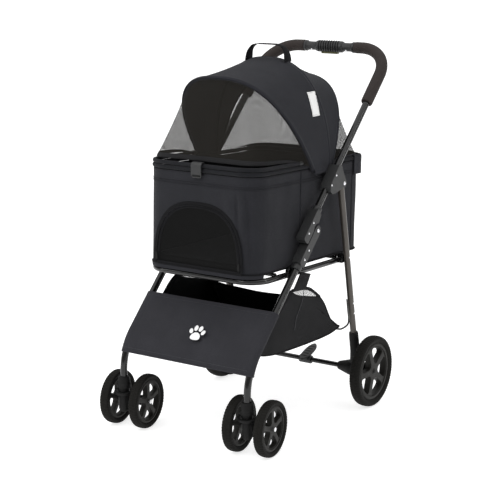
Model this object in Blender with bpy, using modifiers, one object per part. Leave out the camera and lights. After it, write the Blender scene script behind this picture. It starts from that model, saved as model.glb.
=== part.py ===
"""Folding pet stroller with a clip-on soft carrier.

Metres, +Z up, the stroller faces -Y. Names ending in _L lie at -X and _R at +X, as seen from the front.
The origin is on the floor, under the middle of the whole stroller.
Every moving piece turns or slides about the points named below.
"""

import math

import bmesh
import bpy
from mathutils import Matrix, Vector

MM = 0.001
GAP = 0.3 * MM                       # running gap between neighbouring solids

# ---------------------------------------------------------------- driving dimensions
# The lengths below put the fold pivot near the origin; the whole stroller is then moved along
# Y by this much, so that the origin is under the middle of its bounding box.
CENTRE_SHIFT = 3.8 * MM

# Side frames: every frame tube lies in one of two upright planes.
SIDE_X = 201 * MM                    # plane of the front legs and the handle tube
TUBE_R = 9.5 * MM
REAR_X = 208 * MM                    # plane of the rear legs
REAR_TUBE_R = 9 * MM

# Pivots of the folding four-bar, as (y, z).
FOLD_PIVOT = (-39 * MM, 544 * MM)    # handle tube on front leg
LEG_PIVOT = (86 * MM, 655 * MM)      # rear leg on handle tube
RING_PIVOT = (-140 * MM, 449 * MM)   # carrier ring on front leg
RING_REST = (128 * MM, 437 * MM)     # carrier ring on rear leg, the open pivot of the loop
LEG_PIN_R = 3.5 * MM
RING_PIN_R = 3 * MM

# Front leg: 45 degree run, one bend, then the upright caster stem.
STEM_Y = -358 * MM
LEG_BEND_R = 150 * MM
LEG_TOP_U = -26 * MM                 # leg end, measured along the 45 degree axis from the pivot
STEM_END_Z = 126 * MM

# Handle tube: 45 degree run, then a bend at each side into the cross bar.
HANDLE_OFFSET = 28.3 * MM            # handle axis in front of the fold pivot, square to the run
HANDLE_LOW_U = -46 * MM
HANDLE_BAR_Y = 374 * MM
HANDLE_BAR_Z = 997 * MM
HANDLE_BEND_R = 95 * MM
SLEEVE_LOW_Z = 858 * MM
SLEEVE_R = 16.5 * MM
COLLAR_X = 84 * MM                   # inner end of each foam grip
CONSOLE_HALF = 43 * MM

# Casters.
CASTER_X = 201.4 * MM
SWIVEL = {"L": math.radians(5.9), "R": math.radians(5.3)}
TRAIL = 39.3 * MM
FRONT_WHEEL_R = 75 * MM
FRONT_WHEEL_W = 26 * MM
FRONT_WHEEL_HALF_SPACING = 45.8 * MM

# Rear wheels and axle.
REAR_AXLE_Y = 192 * MM
REAR_WHEEL_R = 101.8 * MM
REAR_WHEEL_W = 31.3 * MM
REAR_WHEEL_X = 255.1 * MM
AXLE_TUBE_R = 7 * MM
PEDAL_X = 38 * MM

# Carrier: tilted by a small angle about X, front edge up.
TILT = math.radians(-1.9)
CARRIER_FRONT_Y = -294 * MM
CARRIER_BASE_Z = 456 * MM            # at the front edge
CARRIER_LENGTH = 548 * MM
TUB_HALF_W = 177 * MM
TUB_FRONT_R = 60 * MM
TUB_REAR_R = 45 * MM
WALL = 3 * MM
RIM_H = 265 * MM                     # rim tube axis above the base
RIM_R = 6 * MM
RIM_X = 173.5 * MM
BOW_R = 5.5 * MM
BOW_H = RIM_H + RIM_R + BOW_R + GAP
BOW_HINGE_Y = -68 * MM
RING_X = 177 * MM
RING_R = 8 * MM
RING_DROP = 14.5 * MM                # ring axis under the carrier's base

# Hood: three hoops about one knob at each side.
HOOD_KNOB = (63 * MM, 698 * MM)
HOOP_X = 183 * MM
HOOP_R = 2.5 * MM
FRONT_HOOP_FOOT = (-16 * MM, 697 * MM)
REAR_HOOP_FOOT = (71 * MM, 699 * MM)

# ---------------------------------------------------------------- colours
FINISHES = {
    "black_tube": ((0.012, 0.012, 0.013), 0.22, 0.6),
    "brown_tube": ((0.045, 0.040, 0.036), 0.38, 0.6),
    "charcoal_plastic": ((0.030, 0.031, 0.034), 0.48, 0.0),
    "button_green": ((0.070, 0.072, 0.030), 0.45, 0.0),
    "grip_foam": ((0.035, 0.026, 0.022), 0.85, 0.0),
    "tyre": ((0.016, 0.016, 0.017), 0.80, 0.0),
    "rim_plastic": ((0.040, 0.040, 0.042), 0.50, 0.0),
    "steel": ((0.60, 0.60, 0.62), 0.25, 1.0),
    "canopy_fabric": ((0.030, 0.031, 0.035), 0.90, 0.0),
    "tub_fabric": ((0.024, 0.025, 0.029), 0.90, 0.0),
    "mesh_fabric": ((0.100, 0.095, 0.090), 0.90, 0.0),
    "pad_fabric": ((0.028, 0.029, 0.032), 0.95, 0.0),
}


def clear_scene():
    for old in list(bpy.data.objects):
        bpy.data.objects.remove(old, do_unlink=True)


def new_collection(name):
    collection = bpy.data.collections.new(name)
    bpy.context.scene.collection.children.link(collection)
    return collection


def finish(name):
    """The named material, made once."""
    material = bpy.data.materials.get(name)
    if material:
        return material
    color, roughness, metallic = FINISHES[name]
    material = bpy.data.materials.new(name)
    material.use_nodes = True
    shader = material.node_tree.nodes["Principled BSDF"]
    shader.inputs["Base Color"].default_value = (*color, 1.0)
    shader.inputs["Roughness"].default_value = roughness
    shader.inputs["Metallic"].default_value = metallic
    material.diffuse_color = (*color, 1.0)
    return material


def place(name, data, material, collection):
    obj = bpy.data.objects.new(name, data)
    collection.objects.link(obj)
    if material:
        data.materials.append(finish(material))
    return obj


def mesh_from(obj):
    """Replace a curve object by the closed mesh that it evaluates to."""
    collection = obj.users_collection[0]
    bpy.context.view_layer.update()
    graph = bpy.context.evaluated_depsgraph_get()
    mesh = bpy.data.meshes.new_from_object(obj.evaluated_get(graph))
    work = bmesh.new()
    work.from_mesh(mesh)
    bmesh.ops.remove_doubles(work, verts=work.verts, dist=1e-6)
    bmesh.ops.recalc_face_normals(work, faces=work.faces)
    work.to_mesh(mesh)
    work.free()
    name = obj.name
    matrix = obj.matrix_world.copy()
    bpy.data.objects.remove(obj, do_unlink=True)
    made = bpy.data.objects.new(name, mesh)
    made.matrix_world = matrix
    collection.objects.link(made)
    return made


def tube(name, points, radius, material, sides=4, cyclic=False, collection=None):
    """A round tube along a list of points, with filled ends."""
    curve = bpy.data.curves.new(name, "CURVE")
    curve.dimensions = "3D"
    curve.bevel_depth = radius
    curve.bevel_resolution = sides
    curve.use_fill_caps = True
    curve.twist_mode = "MINIMUM"
    spline = curve.splines.new("POLY")
    spline.points.add(len(points) - 1)
    for knot, point in zip(spline.points, points):
        knot.co = (*point, 1.0)
    spline.use_cyclic_u = cyclic
    return place(name, curve, material, collection or parts)


def turned(name, profile, material, steps=24, collection=None):
    """A solid of revolution about its own Z, from (radius, height) points, top to bottom."""
    mesh = bpy.data.meshes.new(name)
    edges = [(i, i + 1) for i in range(len(profile) - 1)]
    mesh.from_pydata([(r, 0, z) for r, z in profile], edges, [])
    obj = place(name, mesh, material, collection or parts)
    screw = obj.modifiers.new("turn", "SCREW")
    screw.steps = steps
    screw.render_steps = steps
    screw.use_merge_vertices = True
    screw.merge_threshold = 1e-6
    return obj


def plate(name, outline, x_low, x_high, material, collection=None):
    """A flat plate square to X, from a (y, z) outline."""
    curve = bpy.data.curves.new(name, "CURVE")
    curve.dimensions = "2D"
    curve.fill_mode = "BOTH"
    curve.extrude = abs(x_high - x_low) / 2
    spline = curve.splines.new("POLY")
    spline.points.add(len(outline) - 1)
    for knot, (y, z) in zip(spline.points, outline):
        knot.co = (y, z, 0, 1.0)
    spline.use_cyclic_u = True
    obj = place(name, curve, material, collection or parts)
    obj.rotation_euler = (math.pi / 2, 0, math.pi / 2)
    obj.location.x = (x_low + x_high) / 2
    return obj


def block(name, center, size, material, collection=None, bevel=0.0):
    mesh = bpy.data.meshes.new(name)
    work = bmesh.new()
    bmesh.ops.create_cube(work, size=1.0, matrix=Matrix.Diagonal((*size, 1.0)))
    work.to_mesh(mesh)
    work.free()
    obj = place(name, mesh, material, collection or parts)
    obj.location = center
    if bevel:
        edges = obj.modifiers.new("edges", "BEVEL")
        edges.width = bevel
        edges.segments = 2
    return obj


def cutter_bar(name, start, end, radius, steps=16):
    """A round cutter between two points."""
    start, end = Vector(start), Vector(end)
    length = (end - start).length
    profile = [(0, length), (radius, length), (radius, 0), (0, 0)]
    obj = turned(name, profile, None, steps, cutters)
    obj.rotation_euler = (end - start).to_track_quat("Z", "Y").to_euler()
    obj.location = start
    return hide(obj)


def hide(obj):
    obj.hide_render = True
    obj.display_type = "WIRE"
    return obj


def as_cutter(obj):
    """Move a shape to the cutters' collection."""
    for old in list(obj.users_collection):
        old.objects.unlink(obj)
    cutters.objects.link(obj)
    return hide(obj)


def combine(obj, other, operation):
    step = obj.modifiers.new(operation.lower() + "_" + other.name, "BOOLEAN")
    step.operation = operation
    step.object = other
    step.solver = "EXACT"
    return obj


def surface(name, rows, material, thickness, offset=0.0, closed=False, cap_last=False):
    """A sheet through rows of points, thickened to a closed shell."""
    work = bmesh.new()
    grid = [[work.verts.new(point) for point in row] for row in rows]
    count = len(rows[0])
    last = count if closed else count - 1
    for low, high in zip(grid, grid[1:]):
        for i in range(last):
            j = (i + 1) % count
            work.faces.new((low[i], low[j], high[j], high[i]))
    if cap_last:
        work.faces.new(grid[-1])
    bmesh.ops.recalc_face_normals(work, faces=work.faces)
    mesh = bpy.data.meshes.new(name)
    work.to_mesh(mesh)
    work.free()
    mesh.shade_smooth()
    obj = place(name, mesh, material, parts)
    shell = obj.modifiers.new("shell", "SOLIDIFY")
    shell.thickness = thickness
    shell.offset = offset
    shell.use_even_offset = False
    return obj


def arc(center, radius, start, end, steps):
    """Points (a, b) on a circle, angles in degrees."""
    angles = [math.radians(start + (end - start) * i / steps) for i in range(steps + 1)]
    return [(center[0] + radius * math.cos(a), center[1] + radius * math.sin(a)) for a in angles]


def along_run(pivot, u, v):
    """(y, z) of a point u up the 45 degree run and v square to it, towards the front."""
    s = math.sqrt(0.5)
    return (pivot[0] + (u - v) * s, pivot[1] + (u + v) * s)


def carrier_point(x, y, h):
    """World point of (x, y, h) in the carrier's own frame: y along its length, h above its base."""
    c, s = math.cos(TILT), math.sin(TILT)
    dy = y - CARRIER_FRONT_Y
    return (x, CARRIER_FRONT_Y + dy * c - h * s, CARRIER_BASE_Z + dy * s + h * c)


def carrier_height(y, h):
    """World height of a carrier plane h above the base, at world y."""
    return CARRIER_BASE_Z + h * math.cos(TILT) + (y - CARRIER_FRONT_Y) * math.tan(TILT)


def rounded_loop(half_w, front, rear, r_front, r_rear, steps=6):
    """A rounded rectangle as (x, y) points, anticlockwise from the front left corner."""
    points = arc((-half_w + r_front, front + r_front), r_front, 180, 270, steps)
    points += arc((half_w - r_front, front + r_front), r_front, 270, 360, steps)
    points += arc((half_w - r_rear, rear - r_rear), r_rear, 0, 90, steps)
    points += arc((-half_w + r_rear, rear - r_rear), r_rear, 90, 180, steps)
    return points


def hoop_arch(half_w, height, power, steps):
    """Flat arch (x, s): a superellipse from the left foot over the top to the right foot."""
    points = []
    for i in range(steps + 1):
        a = math.pi * (1 - i / steps)
        c, s = math.cos(a), math.sin(a)
        points.append((
            math.copysign(half_w * abs(c) ** (2 / power), c),
            height * abs(s) ** (2 / power),
        ))
    return points


def lean(arch, foot, angle):
    """Stand an (x, s) arch up on its foot line, leaning at an angle from +Y."""
    a = math.radians(angle)
    return [(x, foot[0] + s * math.cos(a), foot[1] + s * math.sin(a)) for x, s in arch]


def mix(row_a, row_b, t, sag=0.0):
    """Points between two rows, drawn in towards the cabin by sag."""
    rows = []
    middle = Vector((0, HOOD_KNOB[0], HOOD_KNOB[1]))
    for a, b in zip(row_a, row_b):
        point = Vector(a).lerp(Vector(b), t)
        inward = (middle - point).normalized()
        share = 1 - min(1.0, abs(point.x) / HOOP_X) ** 4
        point += inward * sag * share
        rows.append(tuple(point))
    return rows


# ---------------------------------------------------------------- front frame
def front_leg_path(sign):
    x = sign * SIDE_X
    top = along_run(FOLD_PIVOT, LEG_TOP_U, 0)
    run_constant = FOLD_PIVOT[0] - FOLD_PIVOT[1]          # y = z + constant on the run
    corner_z = STEM_Y - run_constant
    reach = LEG_BEND_R * math.tan(math.radians(22.5))
    center = (STEM_Y + LEG_BEND_R, corner_z - reach)
    bend = arc(center, LEG_BEND_R, 135, 180, 6)
    return [(x, *top)] + [(x, y, z) for y, z in bend] + [(x, STEM_Y, STEM_END_Z)]


def make_front_frame(side, sign):
    x = sign * SIDE_X
    leg = tube("front_leg_" + side, front_leg_path(sign), TUBE_R, "black_tube")
    leg = mesh_from(leg)
    pin = cutter_bar("leg_bore_" + side, (x - 20 * MM, *RING_PIVOT), (x + 20 * MM, *RING_PIVOT),
                     RING_PIN_R + GAP)
    combine(leg, pin, "DIFFERENCE")

    socket = turned("caster_socket_" + side, [
        (TUBE_R + GAP, 150 * MM), (14 * MM, 150 * MM), (16.5 * MM, 144 * MM),
        (17.5 * MM, 132 * MM), (19 * MM, 130 * MM), (19 * MM, 119 * MM), (0, 119 * MM),
        (0, 125 * MM), (TUBE_R + GAP, 125 * MM), (TUBE_R + GAP, 150 * MM)],
        "charcoal_plastic", 24)
    socket.location = (x, STEM_Y, 0)

    # The lower half of the fold joint: a sleeve on the leg and one lug at the pivot.
    outline = [along_run(FOLD_PIVOT, u, v) for u, v in arc((0, 0), 14 * MM, 90, -90, 8)]
    lug = plate("fold_joint_lower_" + side, outline + [
        along_run(FOLD_PIVOT, -112 * MM, -13.5 * MM), along_run(FOLD_PIVOT, -120 * MM, 0),
        along_run(FOLD_PIVOT, -112 * MM, 13.5 * MM)],
        x - sign * 13.5 * MM, x + sign * 13.5 * MM, "charcoal_plastic")
    lug = mesh_from(lug)
    start, end = along_run(FOLD_PIVOT, -130 * MM, 0), along_run(FOLD_PIVOT, LEG_TOP_U + GAP, 0)
    bore = cutter_bar("lower_bore_" + side, (x, *start), (x, *end), TUBE_R + GAP)
    combine(lug, bore, "DIFFERENCE")
    # The inner half is cut away round the pivot, for the upper joint's lobe to turn in.
    clear = cutter_bar("lower_swing_" + side, (x - sign * 30 * MM, *FOLD_PIVOT),
                       (x + sign * GAP, *FOLD_PIVOT), 22 * MM, 24)
    combine(lug, clear, "DIFFERENCE")
    pin = cutter_bar("lower_pin_bore_" + side, (x - 30 * MM, *FOLD_PIVOT),
                     (x + 30 * MM, *FOLD_PIVOT), 4 * MM + GAP)
    combine(lug, pin, "DIFFERENCE")

    pivot = turned("fold_pivot_" + side, [
        (0, 17 * MM), (3 * MM, 16.6 * MM), (5.5 * MM, 14.6 * MM), (5.5 * MM, 13.8 * MM),
        (4 * MM, 13.8 * MM), (4 * MM, -13.8 * MM), (5.5 * MM, -13.8 * MM),
        (5.5 * MM, -15 * MM), (0, -15.4 * MM)], "steel", 12)
    pivot.rotation_euler.y = sign * math.pi / 2
    pivot.location = (x, *FOLD_PIVOT)


def front_panel_rows():
    """Rows of the fabric panel that wraps both front legs, from its top edge down."""
    wrap = TUBE_R + 1.6 * MM
    section = [(SIDE_X - 4 * MM, -wrap)]
    section += [(SIDE_X + wrap * math.cos(math.radians(a)), wrap * math.sin(math.radians(a)))
                for a in range(-90, 91, 30)]
    section += [(SIDE_X * k / 4, wrap) for k in (3, 2, 1, 0)]
    section += [(-x, n) for x, n in reversed(section[:-1])]
    path = front_leg_path(1)
    rows = []
    top = along_run(FOLD_PIVOT, -271 * MM, 0)
    stations = [((top[0], top[1]), 45.0)]
    run_constant = FOLD_PIVOT[0] - FOLD_PIVOT[1]
    corner_z = STEM_Y - run_constant
    reach = LEG_BEND_R * math.tan(math.radians(22.5))
    center = (STEM_Y + LEG_BEND_R, corner_z - reach)
    for angle in (135, 141, 147, 153, 159):
        y, z = arc(center, LEG_BEND_R, angle, angle, 1)[0]
        stations.append(((y, z), 180 - angle))
    for (y, z), slope in stations:
        a = math.radians(slope)
        normal = (-math.cos(a), math.sin(a))
        rows.append([(x, y + n * normal[0], z + n * normal[1]) for x, n in section])
    return rows


def make_front_cloth():
    surface("front_panel", front_panel_rows(), "canopy_fabric", 1.6 * MM)
    # A cross tube ties the two legs behind the panel.
    y, z = along_run(FOLD_PIVOT, -420 * MM, 0)
    half = SIDE_X - TUBE_R - GAP
    tube("front_cross_tube", [(-half, y, z), (half, y, z)], 6 * MM, "black_tube", 2)


# ---------------------------------------------------------------- casters
def swivelled(side, sign, x, y, z):
    """World point of a caster's own (x, y, z), y behind the stem."""
    a = SWIVEL[side]
    return (sign * CASTER_X + x * math.cos(a) - y * math.sin(a),
            STEM_Y + x * math.sin(a) + y * math.cos(a), z)


def make_caster(side, sign):
    a = SWIVEL[side]
    frame = Matrix.Translation((sign * CASTER_X, STEM_Y, 0)) @ Matrix.Rotation(a, 4, "Z")

    fork = turned("caster_fork_" + side, [
        (0, 118.6 * MM), (15 * MM, 118.6 * MM), (15 * MM, 60 * MM), (11 * MM, 52 * MM),
        (0, 52 * MM)], "charcoal_plastic", 20)
    fork.matrix_world = frame
    arm = block("caster_arm_" + side, (0, 0, 0), (24 * MM, 34 * MM, 34 * MM), None, cutters)
    arm.matrix_world = frame @ Matrix.Translation((0, 20 * MM, 80 * MM)) @ Matrix.Rotation(
        math.radians(-14), 4, "X")
    combine(fork, hide(arm), "UNION")
    boss = cutter_bar("caster_boss_" + side, swivelled(side, sign, -30 * MM, TRAIL, FRONT_WHEEL_R),
                      swivelled(side, sign, 30 * MM, TRAIL, FRONT_WHEEL_R), 14 * MM, 20)
    combine(fork, boss, "UNION")
    bore = cutter_bar("caster_bore_" + side, swivelled(side, sign, -40 * MM, TRAIL, FRONT_WHEEL_R),
                      swivelled(side, sign, 40 * MM, TRAIL, FRONT_WHEEL_R), 4 * MM + GAP, 12)
    combine(fork, bore, "DIFFERENCE")

    axle = turned("front_axle_" + side, [
        (0, 61 * MM), (6 * MM, 60.6 * MM), (6 * MM, 59.2 * MM), (4 * MM, 59.2 * MM),
        (4 * MM, -59.2 * MM), (6 * MM, -59.2 * MM), (6 * MM, -60.6 * MM), (0, -61 * MM)],
        "steel", 12)
    axle.matrix_world = frame @ Matrix.Translation((0, TRAIL, FRONT_WHEEL_R)) @ Matrix.Rotation(
        math.pi / 2, 4, "Y")

    # Swivel-lock lever: a U-shaped collar round the fork's front, hinged at its two ends.
    outer = arc((0, 0), 27 * MM, 180, 360, 12)
    inner = arc((0, 0), 19 * MM, 360, 180, 12)
    outline = [(-27 * MM, 12 * MM)] + outer + [(27 * MM, 12 * MM), (19 * MM, 12 * MM)]
    outline += inner + [(-19 * MM, 12 * MM)]
    curve = bpy.data.curves.new("swivel_lock_" + side, "CURVE")
    curve.dimensions = "2D"
    curve.fill_mode = "BOTH"
    curve.extrude = 3.5 * MM
    spline = curve.splines.new("POLY")
    spline.points.add(len(outline) - 1)
    for knot, (px, py) in zip(spline.points, outline):
        knot.co = (px, py, 0, 1.0)
    spline.use_cyclic_u = True
    lever = place("swivel_lock_" + side, curve, "charcoal_plastic", parts)
    lever.matrix_world = frame @ Matrix.Translation((0, 0, 108 * MM)) @ Matrix.Rotation(
        math.radians(8), 4, "X")

    for place_name, offset in (("outer", sign), ("inner", -sign)):
        wheel = frame @ Matrix.Translation(
            (offset * FRONT_WHEEL_HALF_SPACING, TRAIL, FRONT_WHEEL_R)) @ Matrix.Rotation(
            math.pi / 2, 4, "Y")
        make_wheel("front", place_name + "_" + side, wheel, FRONT_WHEEL_R, FRONT_WHEEL_W,
                   4 * MM + GAP)


# ---------------------------------------------------------------- wheels
def make_wheel(kind, label, frame, radius, width, bore):
    """Tyre and five-spoke rim, about the frame's Z."""
    h = width / 2
    seat = radius * 0.80
    steps = 20 if kind == "front" else 24
    tyre = turned(kind + "_tyre_" + label, [
        (seat, 0.62 * h), (0.92 * radius, h), (radius, 0.45 * h), (radius, -0.45 * h),
        (0.92 * radius, -h), (seat, -0.62 * h), (seat, 0.62 * h)], "tyre", steps)
    tyre.matrix_world = frame

    # Rim: a ring, a hub and five spokes, cut from one disc by five windows.
    ring_out = seat - GAP
    ring_in = seat * 0.86
    hub = 0.20 * radius
    rim = turned(kind + "_rim_" + label, [
        (bore, 0.72 * h), (hub, 0.72 * h), (hub * 1.1, 0.30 * h), (ring_in, 0.30 * h),
        (ring_in, 0.66 * h), (ring_out, 0.66 * h), (ring_out, -0.66 * h), (ring_in, -0.66 * h),
        (ring_in, -0.30 * h), (hub * 1.1, -0.30 * h), (hub, -0.72 * h), (bore, -0.72 * h),
        (bore, 0.72 * h)], "rim_plastic", steps)
    rim.matrix_world = frame
    windows = bmesh.new()
    for k in range(5):
        middle = 72 * k
        outline = arc((0, 0), ring_in - 1.5 * MM, middle - 27, middle + 27, 3)
        outline += arc((0, 0), hub * 1.3, middle + 14, middle - 14, 1)
        low = [windows.verts.new((px, py, -width)) for px, py in outline]
        face = windows.faces.new(low)
        rise = bmesh.ops.extrude_face_region(windows, geom=[face])
        top = [v for v in rise["geom"] if isinstance(v, bmesh.types.BMVert)]
        bmesh.ops.translate(windows, verts=top, vec=(0, 0, 2 * width))
    bmesh.ops.recalc_face_normals(windows, faces=windows.faces)
    mesh = bpy.data.meshes.new(kind + "_windows_" + label)
    windows.to_mesh(mesh)
    windows.free()
    cutter = place(mesh.name, mesh, None, cutters)
    cutter.matrix_world = frame
    combine(rim, hide(cutter), "DIFFERENCE")


# ---------------------------------------------------------------- handle frame
def handle_axis(u):
    """(y, z) on the handle tube's straight run."""
    return along_run(FOLD_PIVOT, u, HANDLE_OFFSET)


def handle_half_path():
    """Right half of the handle tube, from its low end to the middle of the bar."""
    low = handle_axis(HANDLE_LOW_U)
    step = math.sqrt(0.5)
    # In the plane of the run, the bend turns from "up the run" to "across".
    top_u = (HANDLE_BAR_Z - handle_axis(0)[1]) / step
    points = [(SIDE_X, *low)]
    center = (SIDE_X - HANDLE_BEND_R, top_u - HANDLE_BEND_R)
    for x, u in arc(center, HANDLE_BEND_R, 0, 90, 8):
        points.append((x, *handle_axis(u)))
    points.append((0, *handle_axis(top_u)))
    return points


def sub_path(points, lengths):
    """Part of a path between two lengths along it."""
    start, end = lengths
    made = []
    walked = 0.0
    for a, b in zip(points, points[1:]):
        a, b = Vector(a), Vector(b)
        span = (b - a).length
        for mark in (start, end):
            if walked < mark <= walked + span:
                made.append((mark, tuple(a.lerp(b, (mark - walked) / span))))
        walked += span
        if start < walked < end:
            made.append((walked, tuple(b)))
    return [p for _, p in sorted(made)]


def path_length(points):
    return sum((Vector(b) - Vector(a)).length for a, b in zip(points, points[1:]))


def make_handle():
    half = handle_half_path()
    path = half + [(-x, y, z) for x, y, z in reversed(half[:-1])]
    tube("handle_tube", path, TUBE_R, "black_tube")

    total = path_length(half)
    low = (SLEEVE_LOW_Z - half[0][2]) / math.sqrt(0.5)
    for side, sign in SIDES:
        route = [(sign * x, y, z) for x, y, z in sub_path(half, (low, total - COLLAR_X))]
        grip = mesh_from(tube("foam_grip_" + side, route, SLEEVE_R, "grip_foam", 3))
        longer = [(sign * x, y, z) for x, y, z in
                  sub_path(half, (low - 5 * MM, total - COLLAR_X + 5 * MM))]
        core = mesh_from(tube("grip_core_" + side, longer, TUBE_R + GAP, None,
                              collection=cutters))
        combine(grip, hide(core), "DIFFERENCE")

    # Console: a fatter housing in the middle of the bar, with a neck at each side.
    y, z = half[-1][1], half[-1][2]
    inner = TUBE_R + GAP
    console = turned("handle_console", [
        (inner, COLLAR_X - 0.5 * MM), (13.5 * MM, COLLAR_X - 0.5 * MM),
        (12.5 * MM, CONSOLE_HALF + 6 * MM), (17 * MM, CONSOLE_HALF), (17 * MM, -CONSOLE_HALF),
        (12.5 * MM, -CONSOLE_HALF - 6 * MM), (13.5 * MM, -COLLAR_X + 0.5 * MM),
        (inner, -COLLAR_X + 0.5 * MM), (inner, COLLAR_X - 0.5 * MM)], "charcoal_plastic", 24)
    console.rotation_euler.y = math.pi / 2
    console.location = (0, y, z)
    pocket = block("button_pocket", (0, y, z - 16 * MM), (56 * MM, 16 * MM, 8 * MM), None, cutters)
    combine(console, hide(pocket), "DIFFERENCE")
    block("release_button", (0, y, z - 17.6 * MM),
          (54 * MM, 14 * MM, 6.5 * MM), "button_green", bevel=1.5 * MM)


def make_handle_side(side, sign):
    x = sign * SIDE_X
    # Upper half of the fold joint, round the handle tube's low end.
    outline = [along_run(FOLD_PIVOT, u, v) for u, v in [
        (-54 * MM, 16.2 * MM), (-14 * MM, 16.2 * MM)]
        + arc((0, 0), 14 * MM, 200, 360, 8)
        + [(18 * MM, 12 * MM), (40 * MM, 17 * MM), (44 * MM, 40 * MM), (36 * MM, 42.5 * MM),
           (-54 * MM, 42.5 * MM), (-58 * MM, 38 * MM), (-58 * MM, 22 * MM)]]
    upper = mesh_from(plate("fold_joint_upper_" + side, outline, x - sign * 13.5 * MM,
                            x + sign * 13.5 * MM, "charcoal_plastic"))
    start, end = handle_axis(HANDLE_LOW_U - GAP), handle_axis(60 * MM)
    bore = cutter_bar("upper_bore_" + side, (x, *start), (x, *end), TUBE_R + GAP)
    combine(upper, bore, "DIFFERENCE")
    # Outer half of the lobe is cut away for the lower lug.
    swing = cutter_bar("upper_swing_" + side, (x, *FOLD_PIVOT),
                       (x + sign * 30 * MM, *FOLD_PIVOT), 21 * MM, 24)
    combine(upper, swing, "DIFFERENCE")
    pin = cutter_bar("upper_pin_bore_" + side, (x - 30 * MM, *FOLD_PIVOT),
                     (x + 30 * MM, *FOLD_PIVOT), 4 * MM + GAP)
    combine(upper, pin, "DIFFERENCE")

    # Bracket that carries the rear leg: a clamp on the handle tube with two cheeks behind it.
    def at(y, z):
        return (y * MM, z * MM)
    outline = [at(22, 634), at(38, 634), at(74, 642)] + [
        (LEG_PIVOT[0] + a, LEG_PIVOT[1] + b) for a, b in arc((0, 0), 12 * MM, -130, 50, 8)] + [
        at(82, 684), at(72, 706), at(58, 709), at(16, 662), at(12, 644)]
    bracket = mesh_from(plate("leg_bracket_" + side, outline, sign * 189.8 * MM,
                              sign * 221 * MM, "charcoal_plastic"))
    low, high = handle_axis(60 * MM), handle_axis(240 * MM)
    bore = cutter_bar("bracket_bore_" + side, (x, *low), (x, *high), TUBE_R + GAP)
    combine(bracket, bore, "DIFFERENCE")
    slot = mesh_from(plate("bracket_slot_" + side, [at(66, 600), at(120, 600), at(120, 668),
                                                    at(92, 672), at(70, 662)],
                           sign * (REAR_X - REAR_TUBE_R - GAP), sign * (REAR_X + REAR_TUBE_R + GAP),
                           None, cutters))
    combine(bracket, hide(slot), "DIFFERENCE")
    bore = cutter_bar("bracket_pin_bore_" + side, (sign * 180 * MM, *LEG_PIVOT),
                      (sign * 230 * MM, *LEG_PIVOT), LEG_PIN_R + GAP, 12)
    combine(bracket, bore, "DIFFERENCE")

    pivot = turned("leg_pivot_" + side, [
        (0, 16.2 * MM), (3 * MM, 15.8 * MM), (5.5 * MM, 13.9 * MM), (5.5 * MM, 13.3 * MM),
        (LEG_PIN_R, 13.3 * MM), (LEG_PIN_R, -18 * MM), (0, -18 * MM)], "steel", 12)
    pivot.rotation_euler.y = sign * math.pi / 2
    pivot.location = (sign * REAR_X, *LEG_PIVOT)


# ---------------------------------------------------------------- rear frame
def rear_leg_y(z):
    """Rear leg axis at height z."""
    slope = (REAR_AXLE_Y - LEG_PIVOT[0]) / (LEG_PIVOT[1] - REAR_WHEEL_R)
    return LEG_PIVOT[0] + (LEG_PIVOT[1] - z) * slope


def make_rear_side(side, sign):
    x = sign * REAR_X
    top = LEG_PIVOT[1] + 7 * MM
    leg = mesh_from(tube("rear_leg_" + side, [
        (x, rear_leg_y(top), top), (x, rear_leg_y(150 * MM), 150 * MM)], REAR_TUBE_R,
        "brown_tube"))
    bore = cutter_bar("rear_top_bore_" + side, (x - 20 * MM, *LEG_PIVOT),
                      (x + 20 * MM, *LEG_PIVOT), LEG_PIN_R + GAP, 12)
    combine(leg, bore, "DIFFERENCE")

    # Foot: a socket on the leg that turns into the axle boss.
    low, high = 128 * MM, 214 * MM
    start = Vector((x, rear_leg_y(low), low))
    axis = (Vector((x, rear_leg_y(high), high)) - start).normalized()
    length = (high - low) / axis.z
    foot = turned("rear_foot_" + side, [
        (0, length), (12.5 * MM, length), (13.5 * MM, length - 6 * MM), (14 * MM, 30 * MM),
        (17 * MM, 0), (17 * MM, -24 * MM), (0, -24 * MM)], "charcoal_plastic", 20)
    foot.rotation_euler = axis.to_track_quat("Z", "Y").to_euler()
    foot.location = start
    cone = turned("foot_cone_" + side, [
        (0, 236 * MM), (19 * MM, 236 * MM), (22 * MM, 228 * MM), (24 * MM, 196 * MM),
        (22 * MM, 184 * MM), (12 * MM, 150 * MM), (0, 150 * MM)], None, 20, cutters)
    cone.rotation_euler.y = sign * math.pi / 2
    cone.location = (0, REAR_AXLE_Y, REAR_WHEEL_R)
    combine(foot, hide(cone), "UNION")
    socket = cutter_bar("foot_socket_" + side, (x, rear_leg_y(149.6 * MM), 149.6 * MM),
                        (x, rear_leg_y(240 * MM), 240 * MM), REAR_TUBE_R + GAP)
    combine(foot, socket, "DIFFERENCE")
    bore = cutter_bar("foot_axle_bore_" + side, (sign * 140 * MM, REAR_AXLE_Y, REAR_WHEEL_R),
                      (sign * 200 * MM, REAR_AXLE_Y, REAR_WHEEL_R), AXLE_TUBE_R + GAP)
    combine(foot, bore, "DIFFERENCE")
    stub = cutter_bar("foot_stub_" + side, (sign * 230 * MM, REAR_AXLE_Y, REAR_WHEEL_R),
                      (sign * 268 * MM, REAR_AXLE_Y, REAR_WHEEL_R), 5 * MM, 12)
    combine(foot, stub, "UNION")

    frame = Matrix.Translation((sign * REAR_WHEEL_X, REAR_AXLE_Y, REAR_WHEEL_R)) @ \
        Matrix.Rotation(math.pi / 2, 4, "Y")
    make_wheel("rear", side, frame, REAR_WHEEL_R, REAR_WHEEL_W, 5 * MM + GAP)


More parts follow.
